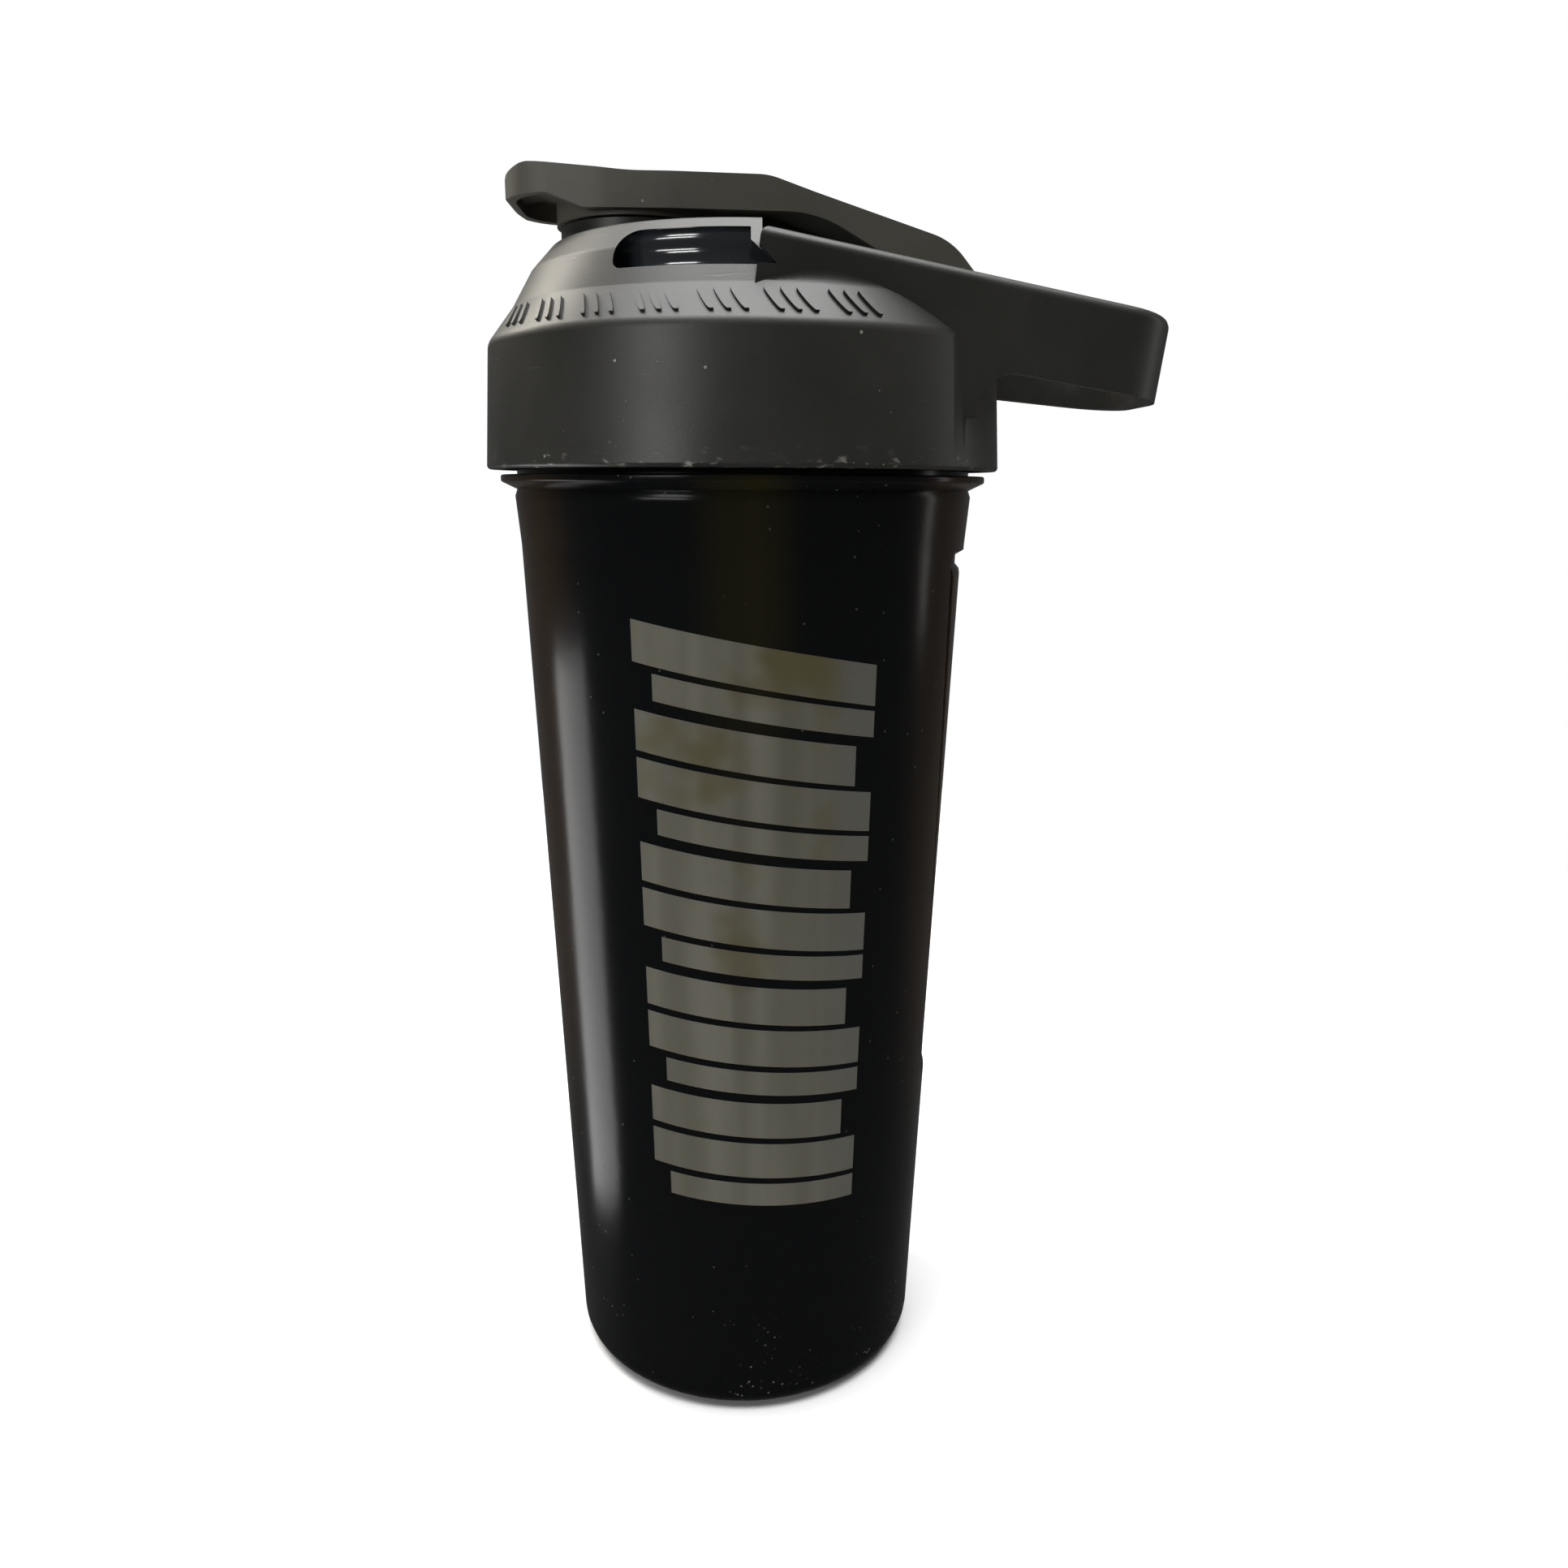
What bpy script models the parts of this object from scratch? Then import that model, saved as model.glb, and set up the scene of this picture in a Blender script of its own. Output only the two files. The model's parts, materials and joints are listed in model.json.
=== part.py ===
"""A protein shaker bottle: screw cup, lid with carry loop, flip cap, seals and mixing grid.

Metres, +Z up. The origin is on the cup's axis, on the surface that the cup stands on.
The carry loop and the cap's hinge lie towards +X, the spout and the thumb tab towards -X.
"""

import math

import bmesh
import bpy
from mathutils import Matrix, Vector

# ---------------------------------------------------------------- driving sizes

FIT_GAP = 0.0003           # clearance that resting pieces keep
SLIDE_GAP = 0.0005         # clearance around pieces that slip into each other

# cup
CUP_BASE_R = 0.0357        # outer radius at the base
CUP_MOUTH_R = 0.0425       # outer radius where the shoulder flare begins
CUP_BODY_H = 0.1680        # height of the plain taper
CUP_WALL = 0.0024
CUP_FLOOR = 0.0030
CUP_CORNER_R = 0.0042      # rounding between wall and base
FOOT_GROOVE_R = 0.0240     # middle of the ring groove under the base
FOOT_GROOVE_W = 0.0060
FOOT_GROOVE_D = 0.0008
FLARE_H = 0.0096           # flare above the taper
FLARE_OUT = 0.0008         # how far the flare stands out
FLARE_R = 0.0300           # soft bend where the flare begins
COLLAR_H = 0.0030          # flange that the lid closes onto
COLLAR_OUT = 0.0030        # flange beyond the neck
COLLAR_LIP = 0.0012        # straight edge of the flange
NECK_OUT = 0.0003          # neck beyond the mouth radius
NECK_H = 0.0200            # from the flange to the rim
NECK_WALL = 0.0024

# sight panel on the rear of the cup
PANEL_BOTTOM = 0.0600
PANEL_DROP = 0.0010        # panel top below the end of the taper
PANEL_BOTTOM_W = 0.0240
PANEL_TOP_W = 0.0400
PANEL_FRAME_W = 0.0035     # width of the sunk frame around the pad
PANEL_FRAME_D = 0.0015     # depth of the frame
PANEL_PAD_D = 0.0005       # depth of the pad

# thread
THREAD_LEAD = 0.0050
THREAD_TURNS = 1.75
THREAD_DEPTH = 0.0018
THREAD_ROOT_W = 0.0022
THREAD_CREST_W = 0.0010
THREAD_FLANK_GAP = 0.0004
THREAD_CREST_GAP = 0.0008
THREAD_SINK = 0.0006       # how deep a ridge is rooted in its wall
THREAD_LIFT = 0.0026       # middle of the lid's ridge above the skirt's edge

# lid, heights above the skirt's lower edge
SKIRT_WALL = 0.0028
SKIRT_GAP = 0.0009         # skirt's lower edge above the cup's flange
SKIRT_H = 0.0218           # drafted side, up to the shoulder
SKIRT_DRAFT = 0.0012       # narrower at the shoulder
SKIRT_EDGE_R = 0.0007
SHOULDER_R = 0.0030
DOME_FOOT_IN = 0.0058      # shallow cone meets steep cone, inside the skirt's radius
DOME_FOOT_H = 0.0279
DOME_RIM_IN = 0.0094       # steep cone meets the bevel
DOME_RIM_H = 0.0342
DECK_IN = 0.0134
DECK_H = 0.0386
DECK_EDGE_R = 0.0013
DECK_WALL = 0.0024
CHAMBER_IN = 0.0058        # hollow under the deck, inside the plug ring's bore
CHAMBER_FLARE_H = 0.0250   # where that hollow starts to narrow
CHAMBER_FLARE = 0.0050
PLUG_RING_WALL = 0.0016
PLUG_RING_H = 0.0080
GASKET_T = 0.0015
GASKET_OVER = 0.0004       # gasket beyond the cup's rim

# carry loop
LOOP_IN = 0.0074           # outer face of an arm inside the skirt's radius
LOOP_ANGLE = math.radians(18.4)
LOOP_START_X = 0.0012
LOOP_REACH = 0.0293        # beyond the skirt, at the loop's mid height
LOOP_WALL = 0.0027
LOOP_CORNER_R = 0.0150
LOOP_SLOPE = 0.1275        # the loop droops towards its end
LOOP_MID_H = 0.0233
LOOP_TOP_H = 0.0367        # top edge over the cup's axis
LOOP_BOTTOM_H = 0.0219     # lower edge over the cup's axis
LOOP_EDGE_R = 0.0018       # rounding on the outer top edge
LOOP_ROOT_OUT = 0.0021     # foot of the arch beyond where an arm leaves the skirt
LOOP_ROOT_H = 0.0087
LOOP_ROOT_R = 0.0068       # arch between lower edge and skirt

# recess between the loop's arms, around the hinge
RECESS_X = 0.0030          # its front wall
RECESS_H = 0.0333          # its floor over the cup's axis
RECESS_WALL = 0.0022

# flank pockets
POCKET_FLOOR_H = 0.0306
POCKET_TOP_H = 0.0369
POCKET_START_X = -0.0208   # rounded end
POCKET_CORNER_R = 0.0048
POCKET_FLOOR_R = 0.0013
POCKET_SLANT = 0.0040      # how far the other end leans under the arm

# spout
SPOUT_IN = 0.0153          # spout's axis inside the deck's radius
SPOUT_BORE_R = 0.0094
SPOUT_WALL = 0.0024
SPOUT_TAPER = 0.0004
SPOUT_H = 0.0075           # above the deck
SPOUT_BASE_OUT = 0.0020
COVER_GAP = 0.0011         # between spout and the cap's ring around it
COVER_WALL = 0.0016
COVER_H = 0.0042           # ring's lower edge above the deck

# flip cap, heights above the skirt's lower edge
HINGE_IN = 0.0127          # hinge axis inside the skirt's radius
HINGE_FLOOR = 0.0009       # groove's underside above the face that seats the gasket
EAR_R = 0.0060             # rounded ears of the cap around the hinge
EAR_T = 0.0030
EAR_START = math.radians(15)       # the ear's round runs from the top of its rear
EAR_END = math.radians(-200)       # down and round to the lower edge
CAP_TIP_IN = 0.0058
CAP_TIP_H = 0.0499         # where the tab's face bends back
CAP_TIP_R = 0.0022
CAP_BROW_RUN = 0.0042      # where that bend meets the top, from the tip
CAP_BROW_H = 0.0514
CAP_BROW_R = 0.0060
CAP_DIP_RUN = 0.0555       # slight dip in the top, from the hinge axis
CAP_DIP_H = 0.0495
CAP_DIP_R = 0.0600
CAP_BEND_RUN = 0.0310      # bend in the top, from the hinge axis
CAP_BEND_H = 0.0494
CAP_BEND_R = 0.0120
CAP_TAIL_RUN = 0.0011      # corner over the ears, behind the hinge axis
CAP_TAIL_H = 0.0392
CAP_TAIL_R = 0.0120
CAP_PLATE_RUN = 0.0028     # the top plate ends this far before the hinge axis
CAP_LIP_H = 0.0462         # lower edge of the thumb tab
CAP_LIP_IN = 0.0012        # the tab's face leans in by this much at its lower edge
CAP_LIP_RUN = 0.0085       # length of the tab's lower edge
CAP_CHIN_RUN = 0.0150      # full depth of the side wall starts this far from the tip
CAP_CHIN_R = 0.0040
CAP_LOWER_H = 0.0436
CAP_LOWER_RUN = 0.0225     # from the hinge axis to the bend in the lower edge
CAP_LOWER_R = 0.0200
CAP_WALL = 0.0018
CAP_HALF_W = 0.0138        # at the hinge
CAP_NOSE_HALF_W = 0.0131   # at the thumb tab
CAP_NOSE_R = 0.0100
CAP_BELLY_OVER = 0.0013    # over the spout, beyond the cover ring
CAP_BELLY_R = 0.0200
CAP_WAIST_RUN = 0.0230     # full hinge width starts this far before the hinge axis
CAP_EDGE_R = 0.0009
CAP_SIDE_GAP = 0.0006

# hinge
PIN_R = 0.0015
PIN_GAP = 0.0001
PIN_EDGE = 0.0003
PIN_SKIN = 0.0009          # blind end of the pin's hole in an ear
KNUCKLE_R = 0.0034
KNUCKLE_GAP = 0.0004
SLOT_R = 0.0079            # groove in the dome that the ears turn in
SLOT_START = math.radians(165)     # where the groove's round begins
SLOT_GAP = 0.0009          # under the cap
SLOT_WALL = 0.0020

# mixing grid
GRID_FLANGE_T = 0.0018
GRID_COLLAR_H = 0.0042
GRID_COLLAR_WALL = 0.0017
GRID_PITCH = 0.0072
GRID_BAR_W = 0.0016
GRID_SPOKES = 12
GRID_HUB_R = 0.0042
GRID_INSET = 0.0002        # spokes thinner than the rings, each side

# plug seal
SEAL_DISC_T = 0.0009
SEAL_PLUG_H = 0.0031
SEAL_PLUG_GAP = 0.0005
SEAL_PLUG_TAPER = 0.0007
SEAL_DISH_D = 0.0016
SEAL_WALL = 0.0014

# facets
TURN_STEPS = 60
SMALL_STEPS = 28
RING_STEPS = 36
THREAD_STEPS = 32
CORNER_STEPS = 4
TURNED_CORNER_STEPS = 3
SMALL_CORNER = 0.0012      # roundings under this are single facets
OVERSHOOT = 0.0100         # how far cutters run past what they cut
MERGE = 0.00001
SEAM_MERGE = 0.000002
CREASE = math.radians(35)
BEVEL_CREASE = math.radians(50)

# ---------------------------------------------------------------- derived sizes

TAPER = (CUP_MOUTH_R - CUP_BASE_R) / CUP_BODY_H
FLARE_TOP_Z = CUP_BODY_H + FLARE_H
COLLAR_TOP_Z = FLARE_TOP_Z + COLLAR_H
NECK_R = CUP_MOUTH_R + NECK_OUT
COLLAR_R = NECK_R + COLLAR_OUT
RIM_Z = COLLAR_TOP_Z + NECK_H
BORE_R = NECK_R - NECK_WALL

LID_Z = COLLAR_TOP_Z + SKIRT_GAP
SKIRT_BORE_R = NECK_R + THREAD_DEPTH + THREAD_CREST_GAP
SKIRT_R = SKIRT_BORE_R + SKIRT_WALL
PLUG_RING_R = BORE_R - SLIDE_GAP
PLUG_BORE_R = PLUG_RING_R - PLUG_RING_WALL
GASKET_Z = RIM_Z + FIT_GAP
SEAT_Z = GASKET_Z + GASKET_T + FIT_GAP
PLUG_RING_Z = SEAT_Z - PLUG_RING_H
DECK_R = SKIRT_R - DECK_IN
DECK_Z = LID_Z + DECK_H
CHAMBER_R = PLUG_BORE_R - CHAMBER_IN
CHAMBER_Z = DECK_Z - DECK_WALL
POCKET_BACK_R = CHAMBER_R + DECK_WALL

LOOP_OFFSET = SKIRT_R - LOOP_IN
LOOP_END_X = SKIRT_R + LOOP_REACH

SPOUT_X = SPOUT_IN - DECK_R
SPOUT_R = SPOUT_BORE_R + SPOUT_WALL
SPOUT_TOP_Z = DECK_Z + SPOUT_H
COVER_BORE_R = SPOUT_R + COVER_GAP
COVER_R = COVER_BORE_R + COVER_WALL
COVER_Z = DECK_Z + COVER_H
CEILING_Z = SPOUT_TOP_Z + FIT_GAP + SEAL_DISC_T + FIT_GAP

HINGE_X = SKIRT_R - HINGE_IN
HINGE_Z = SEAT_Z + HINGE_FLOOR + SLOT_WALL + SLOT_R
CAP_TIP_X = CAP_TIP_IN - SKIRT_R
CAP_BELLY_HALF_W = COVER_R + CAP_BELLY_OVER
EAR_INNER_Y = CAP_HALF_W - EAR_T
SLOT_HALF_W = CAP_HALF_W + CAP_SIDE_GAP

GRID_Z = PLUG_RING_Z - FIT_GAP - GRID_FLANGE_T
GRID_COLLAR_R = PLUG_BORE_R - FIT_GAP


# ---------------------------------------------------------------- scene set-up

def clear_scene():
    for obj in list(bpy.data.objects):
        bpy.data.objects.remove(obj)


def new_collection(name):
    coll = bpy.data.collections.new(name)
    bpy.context.scene.collection.children.link(coll)
    return coll


clear_scene()
PARTS = new_collection("protein_shaker_bottle")
CUTTERS = new_collection("cutters")


def material(name, color, roughness, alpha=1.0):
    mat = bpy.data.materials.new(name)
    mat.use_nodes = True
    shader = mat.node_tree.nodes["Principled BSDF"]
    shader.inputs["Base Color"].default_value = (*color, 1.0)
    shader.inputs["Roughness"].default_value = roughness
    shader.inputs["Metallic"].default_value = 0.0
    shader.inputs["Alpha"].default_value = alpha
    return mat


# ---------------------------------------------------------------- outlines

def arc(cx, cy, radius, start, end, steps):
    """Points on a circle from angle start to angle end."""
    angles = [start + (end - start) * i / steps for i in range(steps + 1)]
    return [(cx + radius * math.cos(a), cy + radius * math.sin(a)) for a in angles]


def rounded(corners, steps=CORNER_STEPS):
    """Closed outline from (x, y, radius) corners, each with a tangent arc of its radius."""
    points = []
    count = len(corners)
    for i, (x, y, radius) in enumerate(corners):
        here = Vector((x, y))
        if radius == 0.0:
            points.append((x, y))
            continue
        before = Vector(corners[i - 1][:2]) - here
        after = Vector(corners[(i + 1) % count][:2]) - here
        half = before.angle(after) / 2
        start = here + before.normalized() * radius / math.tan(half)
        end = here + after.normalized() * radius / math.tan(half)
        centre = here + (before.normalized() + after.normalized()).normalized() * radius / math.sin(half)
        a0 = math.atan2(start.y - centre.y, start.x - centre.x)
        a1 = math.atan2(end.y - centre.y, end.x - centre.x)
        turn = (a1 - a0 + math.pi) % (2 * math.pi) - math.pi
        points += arc(centre.x, centre.y, radius, a0, a0 + turn, steps if radius > SMALL_CORNER else 1)
    return points


# ---------------------------------------------------------------- solids

def add_object(name, mesh, collection):
    obj = bpy.data.objects.new(name, mesh)
    collection.objects.link(obj)
    if collection is CUTTERS:
        obj.hide_render = True
        obj.display_type = "WIRE"
    return obj


def turned(name, profile, steps, collection=None, centre=(0.0, 0.0), closed=False):
    """Solid turned about a vertical axis; the profile runs down its outer side."""
    mesh = bpy.data.meshes.new(name)
    verts = [(r, 0.0, z) for r, z in profile]
    edges = [(i, i + 1) for i in range(len(profile) - 1)]
    if closed:
        edges.append((len(profile) - 1, 0))
    mesh.from_pydata(verts, edges, [])
    obj = add_object(name, mesh, collection or CUTTERS)
    obj.location = (centre[0], centre[1], 0.0)
    screw = obj.modifiers.new("turn", "SCREW")
    screw.axis = "Z"
    screw.angle = 2 * math.pi
    screw.steps = steps
    screw.render_steps = steps
    screw.use_merge_vertices = True
    screw.merge_threshold = MERGE
    return obj


def prism(name, outline, axis, low, high):
    """Outline extruded along an axis: X takes (y, z) points, Y takes (x, z), Z takes (x, y)."""
    curve = bpy.data.curves.new(name, "CURVE")
    curve.dimensions = "2D"
    curve.fill_mode = "BOTH"
    curve.extrude = (high - low) / 2
    spline = curve.splines.new("POLY")
    spline.points.add(len(outline) - 1)
    for point, (a, b) in zip(spline.points, outline):
        point.co = (a, b, 0.0, 1.0)
    spline.use_cyclic_u = True
    flat = bpy.data.objects.new(name + "_outline", curve)
    CUTTERS.objects.link(flat)
    bpy.context.view_layer.update()
    graph = bpy.context.evaluated_depsgraph_get()
    mesh = bpy.data.meshes.new_from_object(flat.evaluated_get(graph))
    bpy.data.objects.remove(flat)
    middle = (low + high) / 2
    frames = {
        "X": Matrix(((0, 0, 1, middle), (1, 0, 0, 0), (0, 1, 0, 0), (0, 0, 0, 1))),
        "Y": Matrix(((1, 0, 0, 0), (0, 0, -1, middle), (0, 1, 0, 0), (0, 0, 0, 1))),
        "Z": Matrix.Translation((0, 0, middle)),
    }
    mesh.transform(frames[axis])
    weld(mesh)
    return add_object(name, mesh, CUTTERS)


def weld(mesh):
    work = bmesh.new()
    work.from_mesh(mesh)
    bmesh.ops.remove_doubles(work, verts=work.verts, dist=MERGE)
    bmesh.ops.recalc_face_normals(work, faces=work.faces)
    work.to_mesh(mesh)
    work.free()


def clean_seams(mesh):
    """Closes the hairline gaps and slivers that Booleans leave between nearly equal corners."""
    work = bmesh.new()
    work.from_mesh(mesh)
    bmesh.ops.dissolve_degenerate(work, edges=work.edges, dist=SEAM_MERGE)
    work.to_mesh(mesh)
    work.free()


def rod(name, radius, x, z, half_length, steps, collection=None):
    """Cylinder along Y."""
    mesh = bpy.data.meshes.new(name)
    work = bmesh.new()
    turn = Matrix.Rotation(math.pi / 2, 4, "X")
    bmesh.ops.create_cone(work, cap_ends=True, segments=steps, radius1=radius, radius2=radius,
                          depth=2 * half_length, matrix=turn)
    work.to_mesh(mesh)
    work.free()
    obj = add_object(name, mesh, collection or CUTTERS)
    obj.location = (x, 0.0, z)
    return obj


def combine(obj, tool, operation):
    boolean = obj.modifiers.new(operation.lower() + "_" + tool.name, "BOOLEAN")
    boolean.operation = operation
    boolean.object = tool
    return obj


def cut(obj, *tools):
    for tool in tools:
        combine(obj, tool, "DIFFERENCE")
    return obj


def join(obj, *tools):
    for tool in tools:
        combine(obj, tool, "UNION")
    return obj


def keep_inside(obj, *tools):
    for tool in tools:
        combine(obj, tool, "INTERSECT")
    return obj


def settle(source, name, mat, origin=(0.0, 0.0, 0.0)):
    """The finished part: the source with its modifiers applied and its origin at a point."""
    bpy.context.view_layer.update()
    graph = bpy.context.evaluated_depsgraph_get()
    mesh = bpy.data.meshes.new_from_object(source.evaluated_get(graph))
    mesh.name = name
    mesh.transform(Matrix.Translation(-Vector(origin)) @ source.matrix_world)
    clean_seams(mesh)
    mesh.materials.clear()
    mesh.materials.append(mat)
    mesh.shade_smooth()
    mesh.set_sharp_from_angle(angle=CREASE)
    part = add_object(name, mesh, PARTS)
    part.location = origin
    return part


# ---------------------------------------------------------------- threads

def thread_ridge(name, root_r, crest_r, start_z):
    """Right-hand ridge of trapezium section, rooted in a wall, turned upwards from the +X side."""
    side = math.copysign(THREAD_SINK, root_r - crest_r)
    half_root = THREAD_ROOT_W / 2
    half_crest = THREAD_CREST_W / 2
    section = [
        (root_r + side, start_z - half_root),
        (root_r, start_z - half_root),
        (crest_r, start_z - half_crest),
        (crest_r, start_z + half_crest),
        (root_r, start_z + half_root),
        (root_r + side, start_z + half_root),
    ]
    steps = round(THREAD_TURNS * THREAD_STEPS)
    work = bmesh.new()
    face = work.faces.new([work.verts.new((r, 0.0, z)) for r, z in section])
    bmesh.ops.spin(work, geom=[face] + face.edges[:] + face.verts[:], cent=(0, 0, 0), axis=(0, 0, 1),
                   dvec=(0, 0, THREAD_LEAD * THREAD_TURNS / steps),
                   angle=2 * math.pi * THREAD_TURNS, steps=steps)
    bmesh.ops.holes_fill(work, edges=[e for e in work.edges if e.is_boundary])
    bmesh.ops.recalc_face_normals(work, faces=work.faces)
    mesh = bpy.data.meshes.new(name)
    work.to_mesh(mesh)
    work.free()
    return add_object(name, mesh, CUTTERS)


def flank_offset():
    """Height of the cup's ridge over the lid's, so that their flanks stand a gap apart."""
    slope = (THREAD_ROOT_W - THREAD_CREST_W) / 2 / THREAD_DEPTH
    return THREAD_ROOT_W - slope * (SKIRT_BORE_R - NECK_R) + THREAD_FLANK_GAP


# ---------------------------------------------------------------- cup

def cup_outer_r(z):
    return CUP_BASE_R + TAPER * z


def cup_profile():
    groove_out = FOOT_GROOVE_R + FOOT_GROOVE_W / 2
    groove_in = FOOT_GROOVE_R - FOOT_GROOVE_W / 2
    rim_r = NECK_WALL / 3
    lip_r = COLLAR_LIP / 3
    inner_floor_r = cup_outer_r(CUP_FLOOR) - CUP_WALL
    return rounded([
        (0.0, CUP_FLOOR, 0.0),
        (inner_floor_r, CUP_FLOOR, CUP_CORNER_R),
        (CUP_MOUTH_R - CUP_WALL, CUP_BODY_H, 0.0),
        (BORE_R, FLARE_TOP_Z, 0.0),
        (BORE_R, RIM_Z, rim_r),
        (NECK_R, RIM_Z, rim_r),
        (NECK_R, COLLAR_TOP_Z, 0.0),
        (COLLAR_R, COLLAR_TOP_Z, lip_r),
        (COLLAR_R, COLLAR_TOP_Z - COLLAR_LIP, lip_r),
        (CUP_MOUTH_R + FLARE_OUT / 2, FLARE_TOP_Z + FLARE_OUT / 2, 0.0),
        (CUP_MOUTH_R + FLARE_OUT, FLARE_TOP_Z - FLARE_OUT, 0.0),
        (CUP_MOUTH_R, CUP_BODY_H, FLARE_R),
        (CUP_BASE_R, 0.0, CUP_CORNER_R),
        (groove_out, 0.0, 0.0),
        (groove_out - FOOT_GROOVE_D, FOOT_GROOVE_D, 0.0),
        (groove_in + FOOT_GROOVE_D, FOOT_GROOVE_D, 0.0),
        (groove_in, 0.0, 0.0),
        (0.0, 0.0, 0.0),
    ], TURNED_CORNER_STEPS)


def panel_outline(inset):
    """Tapered outline (y, z) on the rear of the cup, narrower at the bottom."""
    top_z = CUP_BODY_H - PANEL_DROP - inset
    bottom_z = PANEL_BOTTOM + inset
    top = PANEL_TOP_W / 2 - inset
    bottom = PANEL_BOTTOM_W / 2 - inset
    return rounded([
        (-bottom, bottom_z, PANEL_FRAME_W),
        (bottom, bottom_z, PANEL_FRAME_W),
        (top, top_z, PANEL_FRAME_W),
        (-top, top_z, PANEL_FRAME_W),
    ])


def panel_shell(name, depth):
    """Ring that follows the cup's taper and reaches a depth into its wall."""
    low = PANEL_BOTTOM - OVERSHOOT
    high = CUP_BODY_H
    return turned(name, [
        (cup_outer_r(high) - depth, high),
        (cup_outer_r(high) + OVERSHOOT, high),
        (cup_outer_r(low) + OVERSHOOT, low),
        (cup_outer_r(low) - depth, low),
    ], TURN_STEPS, closed=True)


def make_cup(mat):
    body = turned("cup_body", cup_profile(), TURN_STEPS)
    reach = COLLAR_R + OVERSHOOT
    field = prism("panel_field", panel_outline(0.0), "X", 0.0, reach)
    pad = prism("panel_pad", panel_outline(PANEL_FRAME_W), "X", 0.0, reach)
    recess = keep_inside(panel_shell("panel_recess", PANEL_PAD_D), field)
    frame = cut(keep_inside(panel_shell("panel_frame", PANEL_FRAME_D), field), pad)
    ridge_z = LID_Z + THREAD_LIFT + flank_offset()
    ridge = thread_ridge("cup_ridge", NECK_R, NECK_R + THREAD_DEPTH, ridge_z)
    join(cut(body, recess, frame), ridge)
    return settle(body, "cup", mat)


# ---------------------------------------------------------------- lid

def lid_profile():
    return rounded([
        (0.0, DECK_Z, 0.0),
        (DECK_R, DECK_Z, DECK_EDGE_R),
        (SKIRT_R - DOME_RIM_IN, LID_Z + DOME_RIM_H, SHOULDER_R),
        (SKIRT_R - DOME_FOOT_IN, LID_Z + DOME_FOOT_H, SHOULDER_R),
        (SKIRT_R - SKIRT_DRAFT, LID_Z + SKIRT_H, SHOULDER_R),
        (SKIRT_R, LID_Z, SKIRT_EDGE_R),
        (0.0, LID_Z, 0.0),
    ], TURNED_CORNER_STEPS)


def lid_hollow():
    """Everything open inside the lid: chamber, plug ring's bore and the threaded skirt."""
    flare_z = LID_Z + CHAMBER_FLARE_H
    open_z = LID_Z - OVERSHOOT
    hollow = turned("lid_hollow", [
        (0.0, CHAMBER_Z),
        (CHAMBER_R, CHAMBER_Z),
        (CHAMBER_R, flare_z + CHAMBER_FLARE),
        (PLUG_BORE_R, flare_z),
        (PLUG_BORE_R, PLUG_RING_Z),
        (PLUG_RING_R, PLUG_RING_Z),
        (PLUG_RING_R, SEAT_Z),
        (SKIRT_BORE_R, SEAT_Z),
        (SKIRT_BORE_R, open_z),
        (0.0, open_z),
    ], TURN_STEPS)
    half = SLOT_HALF_W + SLOT_WALL
    slot_guard = prism("slot_wall", slot_outline(SLOT_WALL), "Y", -half, half)
    recess_guard = prism("recess_wall", recess_outline(RECESS_WALL), "Y", -SKIRT_R, SKIRT_R)
    return cut(hollow, slot_guard, recess_guard)


def recess_outline(wall):
    """Side outline (x, z) of the recess between the loop's arms, grown by a wall."""
    front_x = RECESS_X - wall
    rear_x = SKIRT_R + OVERSHOOT
    floor_z = LID_Z + RECESS_H - wall
    high = LID_Z + CAP_BROW_H + OVERSHOOT
    return [
        (front_x, floor_z - LOOP_SLOPE * front_x),
        (rear_x, floor_z - LOOP_SLOPE * rear_x),
        (rear_x, high),
        (front_x, high),
    ]


def make_recess():
    """Sunk floor between the arms, open to the rear."""
    rear_x = SKIRT_R + OVERSHOOT
    near = arm_y(RECESS_X, LOOP_WALL)
    far = arm_y(rear_x, LOOP_WALL)
    plan = prism("recess_plan", [(RECESS_X, -near), (rear_x, -far), (rear_x, far), (RECESS_X, near)],
                 "Z", LID_Z, LID_Z + CAP_BROW_H + OVERSHOOT)
    side = prism("recess_side", recess_outline(0.0), "Y", -SKIRT_R, SKIRT_R)
    # the plan runs past the front wall, so that the side outline alone makes it
    plan.data.transform(Matrix.Translation((-FIT_GAP, 0.0, 0.0)))
    return keep_inside(side, plan)


def slot_outline(wall):
    """Side outline (x, z) of the groove that the cap lies and turns in, grown by a wall."""
    radius = SLOT_R + wall
    high = LID_Z + CAP_BEND_H + OVERSHOOT
    start_x = HINGE_X - CAP_LOWER_RUN
    start_z = LID_Z + CAP_LOWER_H - SLOT_GAP - wall
    floor = arc(HINGE_X, HINGE_Z, radius, SLOT_START, 1.5 * math.pi, 2 * CORNER_STEPS)
    rear_x = SKIRT_R + OVERSHOOT
    return [(start_x, start_z)] + floor + [(rear_x, HINGE_Z - radius), (rear_x, high), (start_x, high)]


def arm_y(x, inset):
    """Distance of an arm's face from the middle plane, inset from its outer face."""
    return (LOOP_OFFSET - inset - x * math.sin(LOOP_ANGLE)) / math.cos(LOOP_ANGLE)


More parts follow.
